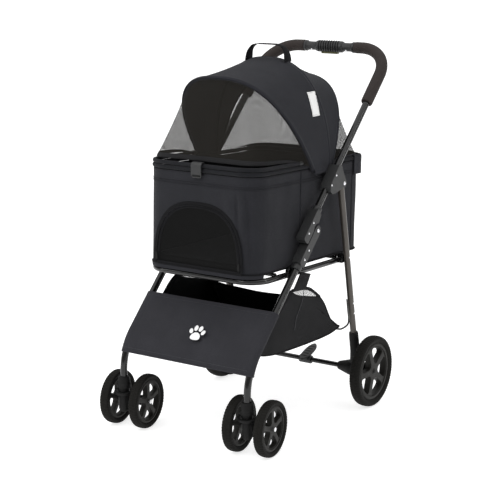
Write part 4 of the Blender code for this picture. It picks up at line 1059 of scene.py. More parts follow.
def make_basket():
    x = SIDE_X - TUBE_R - 4 * MM
    base = [(-306, 262), (-262, 247), (-200, 237), (-130, 233), (-61, 230), (20, 228), (70, 229),
            (102, 233), (125, 239), (103, 249), (79, 267), (60, 294), (40, 324), (18, 346)]
    high = [(-306, 262), (-262, 292), (-230, 318), (-196, 346), (-164, 374), (-131, 391),
            (-111, 391.5), (-66, 387.5), (-35, 379), (-9, 364), (18, 346)]
    cut = high[:6] + [(-110, 381), (-82, 371), (-45, 362), (-12, 352), (18, 346)]
    profile, rim, brim = [curve_through([(0, y * MM, z * MM) for y, z in line], 6)
                          for line in (base, high, cut)]
    rows = []
    for i, p in enumerate(evenly(profile, 64)):
        row = []
        for k in range(45):
            s = k / 22 - 1
            slack = 1 - abs(s) ** 3
            crease = 1.6 * MM * wobble((s * 0.18, p.y, p.z), 55 * MM, 2) * slack
            droop = 16 * MM * slack * smooth_step((i - 46) / 17)
            row.append(Vector((s * x, p.y + droop * 0.4, p.z + crease - droop)))
        rows.append(row)
    floor = sheet("basket_floor", rows, "basket", 1.8 * MM)
    rear_edge = rows[-1]
    sides, windows = [floor], []
    even_low, even_high = evenly(profile, 60), evenly(brim, 60)
    for sign in (-1, 1):
        rows = []
        for i in range(14):
            t = i / 13
            row = []
            for a, b in zip(even_low, even_high):
                p = a.lerp(b, t)
                belly = math.sin(math.pi * t) * 1.2 * MM
                fold = 1.8 * MM * wobble((0, p.y, p.z * 0.4), 38 * MM, 7 + sign)
                row.append(Vector((sign * (x - 1 * MM + belly + fold * math.sin(math.pi * t)),
                                   p.y, p.z)))
            rows.append(row)
        sides.append(sheet("basket_side", rows, "basket", 1.8 * MM))
        top = evenly([q for q in rim if -133 * MM < q.y < 20 * MM], 30)
        low = evenly([q for q in brim if -133 * MM < q.y < 20 * MM], 30)
        rows = [[Vector((sign * (x - 0.6 * MM), *a.lerp(b, i / 6).yz)) for a, b in zip(low, top)]
                for i in range(7)]
        windows.append(sheet("basket_window", rows, "net"))
    for piece in sides:
        bake(piece)
    basket = joined("basket_bag", sides)
    basket.data.shade_smooth()
    window = joined("basket_windows", windows)
    edges = [sweep("basket_rear_hem", rear_edge, circle(1.5 * MM, 10, 2.2),
                   "piping", (0, 1, 0))]
    for sign in (-1, 1):
        edge = [Vector((sign * (x - 0.5 * MM), p.y, p.z)) for p in evenly(rim, 60)]
        edges.append(sweep("basket_binding", edge, circle(1.8 * MM, 12, 2.6, 1.2), "piping",
                           (1, 0, 0)))
        seam = [Vector((sign * (x + 0.2 * MM), p.y, p.z)) for p in profile]
        edges.append(sweep("basket_piping", seam, circle(1.7 * MM, 10), "piping", (1, 0, 0)))
        cord = [Vector((sign * (x + depth * MM), y * MM, z * MM)) for depth, y, z in (
            (1.6, -69, 386), (2.1, -74, 362), (2.3, -89, 338), (2.3, -106, 314), (1.9, -115, 283))]
        edges.append(tube("basket_gather", curve_through(cord, 8), 0.9 * MM, "thread", 10))
    middle = [Vector((0, p.y, p.z - 0.8 * MM)) for p in profile if p.z < 300 * MM]
    edges.append(sweep("basket_middle_seam", middle, circle(1 * MM, 8, 3),
                       "piping", (1, 0, 0)))
    edges = joined("basket_edges", edges)
    for piece in (basket, window, edges):
        put(piece, "front_frame", "mesh_fabric" if piece == window else "tub_fabric")
        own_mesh(piece)
    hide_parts("shopping_basket")
    # The cut: the floor with a side on each edge, up to 105 mm deep.
    cut = (2 * x + 2 * 105 * MM, lengths(profile)[-1])


def make_hangers():
    """Cloth between the ring's front ears and the basket."""
    for side, sign in SIDES:
        corners = [(-32.1, 422.5), (-81.3, 436.6), (-122, 391), (-58, 385)]
        a, b, c, d = [Vector((sign * 190 * MM, y * MM - CENTRE_SHIFT, z * MM))
                      for y, z in corners]
        rows = [[a.lerp(d, i / 8).lerp(b.lerp(c, i / 8), k / 10)
                 + Vector((sign * 0.8 * MM * wobble((i, k, sign), 3, 4), 0, 0)) for k in range(11)]
                for i in range(9)]
        hanger = sheet("hanger_" + side, rows, "basket", 2.2 * MM)
        bake(hanger)
        put(hanger, "front_frame", "tub_fabric")
        cut_size(hanger)
        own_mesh(hanger)


def bake(obj):
    """Apply the modifiers, keeping the UV map."""
    bpy.context.view_layer.update()
    graph = bpy.context.evaluated_depsgraph_get()
    mesh = bpy.data.meshes.new_from_object(obj.evaluated_get(graph))
    obj.modifiers.clear()
    old = obj.data
    obj.data = mesh
    bpy.data.meshes.remove(old)
    return obj


# ---------------------------------------------------------------- carrier
DOOR_HALF = 133 * MM
DOOR_TOP = 172 * MM
DOOR_LOW = 8 * MM
DOOR_POWER = 2.6


def tub_loop(inset, spacing=0.0, steps=8):
    return rounded_loop(TUB_HALF_W - inset, CARRIER_FRONT_Y + inset,
                        CARRIER_FRONT_Y + CARRIER_LENGTH - inset,
                        TUB_FRONT_R - inset, TUB_REAR_R - inset, steps, spacing)


def door_arch(grow, steps):
    """The door's arch as (x, h) in the front wall, larger by grow."""
    made = []
    for i in range(steps + 1):
        a = math.pi * (1 - i / steps)
        c, s = math.cos(a), math.sin(a)
        made.append((math.copysign((DOOR_HALF + grow) * abs(c) ** (2 / DOOR_POWER), c),
                     DOOR_LOW + (DOOR_TOP - DOOR_LOW + grow) * abs(s) ** (2 / DOOR_POWER)))
    return made


# Upright folds at the tub's front right corner: x, how far each stands out, and its width.
CORNER_FOLDS = ((98 * MM, 2.0 * MM, 12 * MM), (124 * MM, -5.0 * MM, 5 * MM),
                (139 * MM, 3.0 * MM, 6 * MM), (152 * MM, -4.4 * MM, 4.5 * MM),
                (166 * MM, 2.0 * MM, 4 * MM))


def fade(h):
    """Folds fade out towards the rim's seam and the base."""
    return smooth_step((h - 4 * MM) / (30 * MM)) * smooth_step((RIM_H - 30 * MM - h) / (60 * MM))


def tub_relief(x, y, h):
    """How far the cloth stands out of the tub's plain wall at a point."""
    p = Vector((x, y, h))
    high = smooth_step(h / (60 * MM)) * smooth_step((RIM_H - h) / (40 * MM))
    relief = 1.0 * MM * wobble(p, 90 * MM, 1)
    if x > 60 * MM and y < -180 * MM:
        lean_by = 0.05 * (h - 130 * MM)
        for middle, rise, spread in CORNER_FOLDS:
            relief += rise * math.exp(-((x + lean_by - middle) / spread) ** 2) * fade(h)
    # Slacker cloth along the sides, and flat cloth round the door.
    sides = smooth_step((abs(x) - 150 * MM) / (25 * MM))
    relief += 1.3 * MM * sides * wobble((0, y * 1.6, h * 0.5), 55 * MM, 11)
    door = 1 - smooth_step((math.hypot(x / 1.2, h - 70 * MM) - 100 * MM) / (40 * MM))
    front = smooth_step((CARRIER_FRONT_Y + 40 * MM - y) / (30 * MM))
    return relief * high * (1 - 0.9 * door * front) - 0.6 * MM


def tub_skin(x, y, h):
    """The point of the tub's outer face at (x, y) of its plain outline."""
    relief = tub_relief(x, y, h)
    out = Vector((x, y - TUB_MIDDLE_Y, 0)).normalized()
    return carrier_point(x + out.x * relief, y + out.y * relief, h)


def make_tub():
    levels = [RIM_H - RIM_R - 0.3 * MM - 1 * MM]
    levels += [RIM_H - RIM_R - 8 * MM - k * 7.5 * MM for k in range(32)]
    levels = [h for h in levels if h > 9 * MM] + [6 * MM]
    rows = [[tub_skin(x, y, h) for x, y in tub_loop(0, 4 * MM)] for h in levels]
    for inset, h in ((1.5 * MM, 2.4 * MM), (5 * MM, 0.4 * MM), (11 * MM, 0.0)):
        wide, long = 1 - inset / TUB_HALF_W, 1 - inset / (CARRIER_LENGTH / 2)
        rows.append([carrier_point(x * wide, (y - TUB_MIDDLE_Y) * long + TUB_MIDDLE_Y, h)
                     for x, y in tub_loop(0, 4 * MM)])
    for scale in (0.8, 0.5, 0.2, 0.02):
        rows.append([carrier_point(x * scale, (y - TUB_MIDDLE_Y) * scale + TUB_MIDDLE_Y,
                                   0.4 * MM * wobble((x, y, scale), 60 * MM, 4))
                     for x, y in tub_loop(0, 4 * MM)])
    tub = sheet("tub_shell", rows, "tub", 2.6 * MM, True)
    tub.data.materials.append(looks["lining"])
    tub.modifiers["thickness"].material_offset = 1
    outward = tub.data.polygons[len(tub.data.polygons) // 4]
    if outward.normal.dot(Vector((outward.center.x, outward.center.y, 0))) < 0:
        tub.data.flip_normals()
    tub.modifiers["thickness"].offset = -1
    arch = door_arch(-1.5 * MM, 56)
    cutter = add_mesh("door_cut", [carrier_point(x, CARRIER_FRONT_Y + dy, h)
                                   for dy in (-30 * MM, 30 * MM) for x, h in arch],
                      [tuple(range(len(arch))), tuple(range(len(arch), 2 * len(arch)))]
                      + [(k, (k + 1) % len(arch), (k + 1) % len(arch) + len(arch), k + len(arch))
                         for k in range(len(arch))], "tub")
    cut = tub.modifiers.new("door", "BOOLEAN")
    cut.object = cutter
    cut.solver = "EXACT"
    bake(tub)
    bpy.data.objects.remove(cutter, do_unlink=True)
    put(tub, "carrier", "tub_fabric", "carrier_tub")
    cut_size(tub)


def make_tub_trim():
    trims = []
    # Double seam under the rim, all the way round.
    for h in (RIM_H - 33 * MM, RIM_H - 39 * MM):
        line = [tub_skin(x, y, h) for x, y in tub_loop(0, 5 * MM)]
        trims.append(sweep("rim_seam", line, circle(0.85 * MM, 8, 1.8, 0.7), "tub", (0, 0, 1),
                           True))
    # Side seams, and piping along the bottom edge.
    for sign in (-1, 1):
        for y in (-76 * MM, 196 * MM):
            heights = [6 * MM + (RIM_H - 14 * MM) * i / 40 for i in range(41)]
            line = [carrier_point(sign * (TUB_HALF_W + tub_relief(TUB_HALF_W, y, h) + 0.3 * MM),
                                  y, h) for h in heights]
            trims.append(sweep("side_seam", line, circle(0.9 * MM, 8, 2.2, 0.8), "tub", (0, 1, 0)))
    skirt = [p for p in tub_loop(-0.8 * MM, 8 * MM) if p[1] < -238 * MM]
    skirt = [carrier_point(x, y, -0.4 * MM + 0.6 * MM * wobble((x, y, 0), 40 * MM, 9))
             for x, y in sorted(skirt, key=lambda q: math.atan2(q[0], -(q[1] + 100 * MM)))]
    trims.append(sweep("base_hem", skirt, flat_section(12 * MM, 1.6 * MM), "tub", (0, -1, 0)))
    bottom = [carrier_point(x, y, 5 * MM) for x, y in tub_loop(-0.6 * MM, 8 * MM)]
    trims.append(sweep("bottom_piping", bottom, circle(2.3 * MM, 12), "piping", (0, 0, 1), True))
    put(joined("tub_trim", trims), "carrier", "tub_fabric")


def make_door():
    # The arch's binding with the zip's coil, on the tub's wall.
    arch = [(x, h) for x, h in door_arch(4.5 * MM, 90)]
    line = [carrier_point(x, CARRIER_FRONT_Y - 0.5 * MM, h) for x, h in arch]
    tape = [sweep("door_tape", line, flat_section(11 * MM, 1.4 * MM), "piping", (0, -1, 0))]
    inner = [carrier_point(x, CARRIER_FRONT_Y - 1.4 * MM, h) for x, h in door_arch(0.5 * MM, 90)]
    tape.append(sweep("zip_coil", inner, circle(1.3 * MM, 10), "piping", (0, -1, 0)))
    low = [carrier_point(x, CARRIER_FRONT_Y - 0.6 * MM, DOOR_LOW + 1 * MM)
           for x in (-(DOOR_HALF + 6 * MM), 0, DOOR_HALF + 6 * MM)]
    tape.append(sweep("door_sill", low, flat_section(9 * MM, 1.6 * MM), "piping", (0, -1, 0)))
    put(joined("door_binding", tape), "carrier")
    for sign in (-1, 1):
        at = carrier_point(sign * (DOOR_HALF - 1 * MM), CARRIER_FRONT_Y - 3 * MM, 26 * MM)
        outline = mm((3, 9), (-3, 9), (-4, -8), (0, -11), (4, -8))
        matrix = turned_to(at, (0, -1, 0))
        put(slab("zip_pull_%s" % ("R" if sign > 0 else "L"), outline, -1 * MM, 1 * MM,
                 "dark_plastic", matrix, 0.5 * MM), "carrier")

    # The net, in a frame of tape.
    rows = []
    for i in range(25):
        t = i / 24
        height = (DOOR_TOP - DOOR_LOW - 6 * MM) * (1 - (1 - t) ** 1.6)
        share = min(1.0, height / (DOOR_TOP - DOOR_LOW - 4 * MM))
        half = (DOOR_HALF - 3 * MM) * max(0.02, 1 - share ** DOOR_POWER) ** (1 / DOOR_POWER)
        rows.append([carrier_point(half * k / 16, CARRIER_FRONT_Y + 1.5 * MM + 0.7 * MM * wobble(
            (half * k / 16, 0, height), 50 * MM, 6), DOOR_LOW + 2 * MM + height)
            for k in range(-16, 17)])
    net_door = sheet("door_mesh", rows, "door_net")
    put(net_door, "front_door", "mesh_fabric", "front_door")
    cut_size(net_door)
    inner = [carrier_point(x, CARRIER_FRONT_Y + 1.2 * MM, h) for x, h in door_arch(-4.5 * MM, 80)]
    inner = inner + [inner[0]]
    frame_tape = sweep("door_frame", inner, flat_section(7 * MM, 1.6 * MM), "piping", (0, -1, 0))
    put(frame_tape, "front_door", "tub_fabric")


def bow_line(count):
    r = TUB_FRONT_R - 3 * MM
    points = u_path(RIM_X, BOW_HINGE_Y, CARRIER_FRONT_Y + 3 * MM + r, r, 14)
    return evenly([carrier_point(x, y, BOW_H) for x, y in points], count)


def make_rim_and_bow():
    loop = rounded_loop(RIM_X, CARRIER_FRONT_Y + 3 * MM, CARRIER_FRONT_Y + CARRIER_LENGTH - 3 * MM,
                        TUB_FRONT_R - 3 * MM, TUB_REAR_R - 3 * MM, 12, 9 * MM)
    path = [carrier_point(x, y, RIM_H + 0.3 * MM * wobble((x, y, 0), 30 * MM, 8)) for x, y in loop]
    rim = sweep("rim_band", path, circle(RIM_R, 20), "bow_sleeve", (0, 0, 1), True)
    put(rim, "carrier", "tub_fabric", "rim_tube")

    line = bow_line(110)
    line = [p + Vector((0, 0, 0.2 * MM * wobble(p, 22 * MM, 12))) for p in line]
    bow = [sweep("bow_tube", line, circle(BOW_R, 20), "bow_sleeve", (0, 0, 1))]
    for sign in (-1, 1):
        end = carrier_point(sign * RIM_X, BOW_HINGE_Y, BOW_H)
        cap = mm((0, 3), (3.4, 2.6), (5.4, 1), (5.9, -1), (5.9, -16), (0, -16))
        bow.append(lathe("bow_end", cap, "plastic", turned_to(end, (0, 1, 0)), 24))
    put(joined("bow", bow), "front_bow", "tub_fabric", "front_bow")

    # Latch: a flexible clip over the bow and the rim.
    at = carrier_point(0, CARRIER_FRONT_Y, RIM_H + 4 * MM)
    rows = []
    profile = [(5.8, 16.6), (0, 17.0), (-5, 16.4), (-8.6, 14), (-10.2, 10), (-10.4, 2), (-10.2, -8),
               (-9.4, -18), (-8.2, -22.4)]
    line = curve_through([(0, y * MM, z * MM) for y, z in profile], 4)
    for i, p in enumerate(line):
        t = i / (len(line) - 1)
        half = 16.2 * MM - (4.5 * MM * max(0.0, t - 0.86) / 0.14)
        rows.append([Vector((half * k / 8, at.y + p.y, at.z + p.z - 0.4 * MM))
                     for k in range(-8, 9)])
    clip = sheet("latch_clip", rows, "plastic", 3 * MM)
    soften = clip.modifiers.new("edges", "BEVEL")
    soften.width = 0.9 * MM
    soften.segments = 2
    soften.limit_method = "ANGLE"
    bake(clip)
    clip.data.set_sharp_from_angle(angle=math.radians(40))
    put(clip, "rim_latch", "charcoal_plastic", "rim_latch")
    grip = [carrier_point(x, CARRIER_FRONT_Y - 11.6 * MM, 251 * MM) for x in (-12 * MM, 12 * MM)]
    pad = sweep("latch_grip", grip, circle(1.3 * MM, 12, 2.0),
                "dark_plastic", (0, -1, 0))
    put(pad, "rim_latch", "charcoal_plastic")


def make_mat():
    rows = []
    loop = [(x, y) for x, y in tub_loop(13 * MM, 10 * MM)]
    outline = [(0.985, 4.2), (1.0, 9), (1.003, 15), (0.997, 22), (0.98, 26.0), (0.95, 27.6),
               (0.88, 28.0), (0.75, 28.0), (0.6, 28.0), (0.45, 28.0), (0.3, 28.0), (0.15, 28.0),
               (0.02, 28.0)]
    for scale, h in outline:
        row = []
        for x, y in loop:
            px, py = x * scale, (y - TUB_MIDDLE_Y) * scale + TUB_MIDDLE_Y
            tuft = 0.0
            if h > 26:
                tuft = -2.2 * (abs(math.cos(px / (62 * MM) * math.pi / 2)) ** 12
                               + abs(math.cos((py - TUB_MIDDLE_Y) / (62 * MM) * math.pi / 2)) ** 12)
            uneven = 0.5 * wobble((px, py, h), 30 * MM, 2)
            row.append(carrier_point(px, py, (h + tuft + uneven) * MM))
        rows.append(row)
    mat = sheet("floor_mat", rows, "pad", 0.0, True)
    put(mat, "carrier", "pad_fabric", "cabin_mat")
    edge = [carrier_point(x, y, 26 * MM) for x, y in tub_loop(14.5 * MM, 8 * MM)]
    put(sweep("mat_piping", edge, circle(2.2 * MM, 10), "piping", (0, 0, 1), True), "carrier",
        "pad_fabric")


def make_flap():
    """The rain cover's flap, folded down round the carrier's rear end."""
    rear = CARRIER_FRONT_Y + CARRIER_LENGTH
    side_x, reach = TUB_HALF_W + 4.5 * MM, rear - 56 * MM
    r = 40 * MM
    loop = u_path(side_x, reach, rear + 13 * MM - r, r, 12)
    loop = evenly([Vector((x, y, 0)) for x, y in loop], 121)
    rows = []
    # From over the rim down its outside, as (inset, height) in millimetres.
    for inset, h in ((8, 272), (4, 273.4), (1.4, 272.4), (0.3, 270), (0, 264), (0.2, 256),
                     (0.4, 248), (0.3, 240), (0.2, 232), (0.2, 226), (0.6, 221)):
        row = []
        for p in loop:
            share = 1 - inset * MM / (side_x - 2 * MM)
            fold = 0.9 * MM * wobble((p.x, p.y, h * MM * 0.3), 40 * MM, 21)
            out = Vector((p.x, max(p.y - rear + 60 * MM, 0.0) * 2, 0)).normalized()
            point = Vector((p.x * share, rear + (p.y - rear) - inset * MM * (p.y > rear - 20 * MM),
                            0)) + out * fold
            row.append(carrier_point(point.x, point.y, h * MM))
        rows.append(row)
    flap = sheet("rear_flap", rows, "canopy", 1.8 * MM)
    bake(flap)
    put(flap, "carrier", "canopy_fabric")
    cut_size(flap)
    trims = [sweep("flap_hem", rows[-1], circle(1.3 * MM, 10, 1.6), "piping",
                   (0, 0, 1))]
    put(joined("flap_trim", trims), "carrier")


# ---------------------------------------------------------------- hood
def hoop_arch(half_w, height, power, steps):
    made = []
    for i in range(steps + 1):
        a = math.pi * (1 - i / steps)
        c, s = math.cos(a), math.sin(a)
        made.append((math.copysign(half_w * abs(c) ** (2 / power), c),
                     height * abs(s) ** (2 / power)))
    return made


def lean(arch, foot, angle):
    a = math.radians(angle)
    return [Vector((x, foot[0] + s * math.cos(a), foot[1] + s * math.sin(a))) for x, s in arch]


REAR_HOOP_FOOT = (71 * MM, 699 * MM)
# Height, roundness, foot and lean in degrees of the front, middle and rear hoops.
HOOPS = ((310 * MM, 2.6, FRONT_HOOP_FOOT, 125), (287 * MM, 2.4, HOOD_KNOB, 94),
         (254 * MM, 3.0, REAR_HOOP_FOOT, 68))
HOOP_STEPS = 88


def hoop_lines():
    return [evenly(lean(hoop_arch(HOOP_X, height, power, 240), foot, angle), HOOP_STEPS + 1)
            for height, power, foot, angle in HOOPS]


def outwards(point):
    out = Vector((point.x, point.y - HOOD_KNOB[0], point.z - HOOD_KNOB[1]))
    out.normalize()
    side = smooth_step((abs(point.x) / HOOP_X - 0.86) / 0.12)
    return out.lerp(Vector((math.copysign(1, point.x), 0, 0)), side).normalized()


def fan(line_a, line_b, count, sag, seed):
    """Rows of cloth between two hoops, drawn in between them, with folds off the knob."""
    skin = HOOP_R + 2.4 * MM
    rows = []
    for i in range(count + 1):
        t = i / count
        row = []
        for k, (a, b) in enumerate(zip(line_a, line_b)):
            point = a.lerp(b, t)
            out = outwards(point)
            free = 4 * t * (1 - t)
            share = 1 - min(1.0, abs(point.x) / HOOP_X) ** 4
            drawn = sag * free * share
            span = (b - a).length
            crease = min(1.0, span / (90 * MM)) * free
            fold = 1.6 * MM * crease * wobble((k / HOOP_STEPS * 0.9, t * 0.05, seed), 0.09, seed)
            slack = 0.8 * MM * crease * wobble(point, 45 * MM, seed + 2)
            hem = 0.9 * MM * (math.exp(-(t / 0.03) ** 2) + math.exp(-((1 - t) / 0.03) ** 2))
            row.append(point + out * (skin - drawn + fold + slack + hem))
        rows.append(row)
    return rows


def skirted(rows, drop):
    """Rows with their two ends carried down past the hoops' feet."""
    def below(end):
        x = end.x + math.copysign(0.5 * MM, end.x)
        return [Vector((x, end.y, end.z - drop * k / 3)) for k in (3, 2, 1)]
    return [below(row[0]) + list(row) + below(row[-1])[::-1] for row in rows]


def make_hood():
    front, middle, rear = hoop_lines()
    link = [Vector((-HOOP_X, HOOD_KNOB[0] - 9 * MM, HOOD_KNOB[1] - 9 * MM))]
    link_r = [Vector((HOOP_X, HOOD_KNOB[0] - 9 * MM, HOOD_KNOB[1] - 9 * MM))]
    for name, line in (("front", link + front + link_r), ("middle", middle), ("rear", rear)):
        wire = tube(name + "_wire", line, HOOP_R, "bow_sleeve", 16, False, (0, 0, 1))
        put(wire, name + "_hoop", "canopy_fabric", name + "_hoop")

    fore = skirted(fan(middle, front, 22, 4 * MM, 3), 8 * MM)
    aft = skirted(fan(rear, middle, 16, 3 * MM, 5), 8 * MM)
    halves = []
    for name, rows in (("canopy_front", fore), ("canopy_rear", aft)):
        cloth = sheet(name, rows, "canopy", 1.5 * MM)
        bake(cloth)
        cloth.data.shade_smooth()
        halves.append(cloth)
    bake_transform(halves[0])
    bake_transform(halves[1])
    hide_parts("hood_canopy")

    trim_hoops(front, middle, rear)
    make_strap(middle)
    make_label([(14, 903), (48, 903), (34, 842), (1, 842)], fore)
    for side, sign in SIDES:
        at = Vector((sign * (HOOP_X + 5.6 * MM), *HOOD_KNOB))
        profile = mm((0, 4), (5.5, 3.6), (8, 2.4), (9, 0), (9, -3), (0, -3))
        put(lathe("hood_knob_" + side, profile, "dark_plastic", turned_to(at, (sign, 0, 0)), 36),
            "carrier")


def trim_hoops(front, middle, rear):
    """Ridges, hems and thread along the hoops."""
    for body, line in (("front_hoop", front), ("middle_hoop", middle), ("rear_hoop", rear)):
        outer = [p + outwards(p) * (HOOP_R + 2.9 * MM) for p in line]
        piece = [sweep("hoop_ridge", outer[1:-1], circle(2.1 * MM, 12, 1.9, 0.75),
                       "canopy", outwards(outer[1]))]
        for shift in (-6.5, 6.5):
            if (body, shift) in (("front_hoop", -6.5), ("rear_hoop", 6.5)):
                continue
            row = []
            for k, p in enumerate(outer[3:-3]):
                other = {"front_hoop": middle, "middle_hoop": front if shift < 0 else rear,
                         "rear_hoop": middle}[body][k + 3]
                step = other - line[k + 3]
                step = step.normalized() * 6.5 * MM if step.length > 8 * MM else step * 0.0
                row.append(p + step - outwards(p) * 0.2 * MM)
            piece.append(stitches("hoop_thread", row, lambda t, row=row: outwards(
                row[min(len(row) - 1, int(t * len(row)))])))
        put(joined(body + "_trim", piece), body, "canopy_fabric")

    # Binding along the front hem, seen from inside and out.
    lip = [p + (HOOD_LOW - p).normalized() * 1.5 * MM for p in front]
    put(sweep("front_binding", lip, circle(3.2 * MM, 12, 1.4), "canopy",
              (0, -1, 0)), "front_hoop", "canopy_fabric")


def make_strap(middle):
    """The carry strap over the middle hoop."""
    top = max(p.z for p in middle) + HOOP_R + 4 * MM
    y = HOOD_KNOB[0] - 20 * MM
    points = [(-64, -12), (-60, 12), (-50, 27), (-36, 33), (0, 34), (36, 33), (50, 27), (60, 12),
              (64, -12)]
    line = curve_through([(px * MM, y, top + pz * MM) for px, pz in points], 8)
    strap = [sweep("strap_band", line, flat_section(24 * MM, 2 * MM), "webbing", (0, 0, 1),
                   size=lambda t: 1 + 0.45 * smooth_step((abs(2 * t - 1) - 0.55) / 0.4))]
    for dy in (-9 * MM, 9 * MM):
        row = [p + Vector((0, dy, 1.1 * MM)) for p in line if abs(p.x) < 40 * MM]
        strap.append(stitches("strap_thread", row, lambda t: (0, 0, 1)))
    put(joined("carry_strap", strap), "middle_hoop", "canopy_fabric")


def make_label(corners, rows):
    """A blank label sewn to the canopy's right side. Its corners are (y, z) in millimetres."""
    flat = [p for row in rows for p in row if p.x > 60 * MM]
    a, b, c, d = [Vector((y * MM, z * MM)) for y, z in corners]
    grid = []
    for i in range(15):
        row = []
        for k in range(9):
            y, z = a.lerp(d, i / 14).lerp(b.lerp(c, i / 14), k / 8)
            y -= CENTRE_SHIFT
            near = sorted(flat, key=lambda p: (p.y - y) ** 2 + (p.z - z) ** 2)[:6]
            weights = [1 / (1e-7 + (p.y - y) ** 2 + (p.z - z) ** 2) for p in near]
            x = sum(w * p.x for w, p in zip(weights, near)) / sum(weights)
            out = outwards(Vector((x, y, z)))
            row.append(Vector((x, y, z)) + out * 2.2 * MM)
        grid.append(row)
    label = sheet("sewn_label", grid, "label", 0.8 * MM)
    bake(label)
    rim = grid[0] + [row[-1] for row in grid[1:]] + list(reversed(grid[-1]))[1:]
    rim += [row[0] for row in reversed(grid[1:-1])]
    middle = grid[7][4]
    rim = [p + (middle - p).normalized() * 3 * MM + outwards(p) * 0.5 * MM for p in rim]
    border = stitches("label_thread", rim + rim[:1], lambda t: outwards(middle), "thread",
                      2.6 * MM, 1.2 * MM, 0.28 * MM)
    cut_size(label)
    for piece in (label, border):
        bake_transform(piece)


HOOD_LOW = Vector((0, -90 * MM, 760 * MM))


def make_windows():
    front, rear = hoop_lines()[::2]
    # Front window: from the front hoop down to a hem above the bow.
    bow = bow_line(HOOP_STEPS + 1)
    rows = []
    for i in range(25):
        t = i / 24
        row = []
        for k, (p, q) in enumerate(zip(front, bow)):
            top = p + (q - p).normalized() * (HOOP_R + 1 * MM)
            low = q + (p - q).normalized() * (BOW_R + 7 * MM)
            point = top.lerp(low, t)
            free = 4 * t * (1 - t)
            uneven = 1 + wobble((k * 0.1, 0, 0), 1.1, 4)
            point += Vector((0, 0, -1)) * 2.0 * MM * free * uneven * 0.5
            row.append(point)
        rows.append(row[2:-2])
    window = sheet("front_window", rows, "net")
    put(window, "front_hoop", "mesh_fabric", "front_mesh")
    cut_size(window)
    hem_rows = [[p + (q - p).normalized() * 13 * MM * s for p, q in zip(rows[-1], rows[-6])]
                for s in (0.0, 0.35, 0.7, 1.0)]
    hem = sheet("window_hem", hem_rows, "lining", 1.6 * MM)
    bake(hem)
    put(hem, "front_hoop", "canopy_fabric")
    cut_size(hem)
    for piece in (window, hem):
        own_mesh(piece)

    # Rear window: from the rear hoop down to the rim, round the back.
    r = TUB_REAR_R - 3 * MM
    rear_y = CARRIER_FRONT_Y + CARRIER_LENGTH - 3 * MM
    points = u_path(RIM_X, 93 * MM, rear_y - r, r, 12)
    rim = evenly([carrier_point(x, y, RIM_H + RIM_R + 1.0 * MM) for x, y in points],
                 HOOP_STEPS + 1)
    rows = []
    for i in range(29):
        t = i / 28
        row = []
        for k, (p, q) in enumerate(zip(rear, rim)):
            top = Vector((p.x * 0.985, p.y + 3.5 * MM, p.z - 1 * MM))
            point = top.lerp(q, t)
            free = 4 * t * (1 - t)
            inward = Vector((-point.x, -0.3 * abs(point.x) - 60 * MM, 0)).normalized()
            point += inward * 3.0 * MM * free
            row.append(point)
        rows.append(row[1:-1])
    window = sheet("rear_window", rows, "net")
    cut_size(window)
    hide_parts("rear_mesh")
    step = (rows[-1][40] - rows[-3][40]).length
    strip = [[p + (q - p) * (11 * MM / step) * s for p, q in zip(rows[-1], rows[-3])]
             for s in (0.0, 0.35, 0.7, 1.0)]
    band = bake(sheet("rear_window_hem", strip, "canopy", 1.6 * MM))
    cut_size(band)
    low = in_world(Vector((0, 200 * MM, 712 * MM)))
    for piece in (window, band):
        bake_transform(piece)


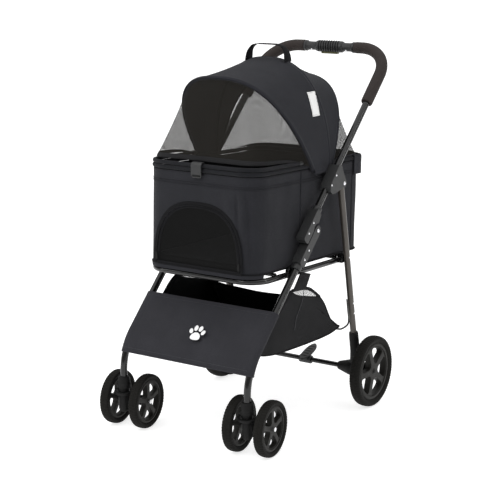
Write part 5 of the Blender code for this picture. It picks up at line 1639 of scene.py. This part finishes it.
# ---------------------------------------------------------------- studio
def make_studio():
    scene = bpy.context.scene
    scene.view_settings.view_transform = "Standard"
    world = bpy.data.worlds.new("studio")
    scene.world = world
    world.use_nodes = True
    tree = world.node_tree
    seen = tree.nodes["Background"]
    seen.inputs["Color"].default_value = (1, 1, 1, 1)
    seen.inputs["Strength"].default_value = 1.0
    # The room that lights the stroller: bright overhead and low behind, grey at eye level.
    place = tree.nodes.new("ShaderNodeTexCoord")
    axes = tree.nodes.new("ShaderNodeSeparateXYZ")
    tree.links.new(axes.inputs[0], place.outputs["Generated"])
    ramp = tree.nodes.new("ShaderNodeValToRGB")
    brightest = 1.5
    stops = ((0.0, 0.85), (0.46, 0.55), (0.52, 0.26), (0.66, 0.30), (0.80, 1.1), (1.0, brightest))
    ramp.color_ramp.elements[0].position = stops[0][0]
    ramp.color_ramp.elements[-1].position = stops[-1][0]
    for position, level in stops[1:-1]:
        ramp.color_ramp.elements.new(position)
    for element, (position, level) in zip(ramp.color_ramp.elements, stops):
        element.color = (level / brightest, level / brightest, level / brightest, 1)
    height = tree.nodes.new("ShaderNodeMapRange")
    height.inputs["From Min"].default_value = -1
    tree.links.new(height.inputs["Value"], axes.outputs["Z"])
    tree.links.new(ramp.inputs["Fac"], height.outputs["Result"])
    room = tree.nodes.new("ShaderNodeBackground")
    room.inputs["Strength"].default_value = brightest
    tree.links.new(room.inputs["Color"], ramp.outputs["Color"])
    path = tree.nodes.new("ShaderNodeLightPath")
    both = tree.nodes.new("ShaderNodeMixShader")
    tree.links.new(both.inputs["Fac"], path.outputs["Is Camera Ray"])
    tree.links.new(both.inputs[1], room.outputs["Background"])
    tree.links.new(both.inputs[2], seen.outputs["Background"])
    tree.links.new(tree.nodes["World Output"].inputs["Surface"], both.outputs["Shader"])

    floor = bpy.data.meshes.new("studio_floor")
    floor.from_pydata([(-30, -30, 0), (30, -30, 0), (30, 30, 0), (-30, 30, 0)], [], [(0, 1, 2, 3)])
    obj = bpy.data.objects.new("studio_floor", floor)
    scene.collection.objects.link(obj)
    white = Shade("studio_white", (0.55, 0.55, 0.55), 0.9)
    white.set("Emission Color", (1, 1, 1, 1)).set("Emission Strength", 0.72)
    floor.materials.append(white.material)

    for name, place, aim, wide, tall, watts in (
            ("key_softbox", (-0.3, -3.0, 3.0), (0, 0, 0.6), 1.6, 1.6, 52),
            ("side_strip", (3.4, 1.2, 1.6), (0.1, 0, 0.6), 0.14, 2.4, 13),
            ("left_strip", (-2.6, -2.6, 1.8), (0, 0, 0.6), 0.4, 2.4, 16)):
        light = bpy.data.lights.new(name, "AREA")
        light.shape = "RECTANGLE"
        light.size = wide
        light.size_y = tall
        light.energy = watts
        lamp = bpy.data.objects.new(name, light)
        scene.collection.objects.link(lamp)
        lamp.location = place
        lamp.rotation_euler = (Vector(place) - Vector(aim)).to_track_quat("Z", "Y").to_euler()

    data = bpy.data.cameras.new("camera")
    data.lens = 105.08
    data.sensor_width = 36
    camera = bpy.data.objects.new("camera", data)
    scene.collection.objects.link(camera)
    camera.location = (2.1547, -3.2517, 1.31805)
    aim = Vector((-0.0572, 0.0228, 0.4588)) - camera.location
    camera.rotation_euler = (aim.to_track_quat("-Z", "Y").to_matrix().to_4x4()
                             @ Matrix.Rotation(math.radians(-0.04), 4, "Z")).to_euler()
    scene.camera = camera


make_tubes()
make_handle()
make_fittings()
make_wheels()
make_panel()
make_emblem()
make_basket()
make_hangers()
make_tub()
make_tub_trim()
make_door()
make_rim_and_bow()
make_mat()
make_flap()
make_hood()
make_windows()
make_studio()
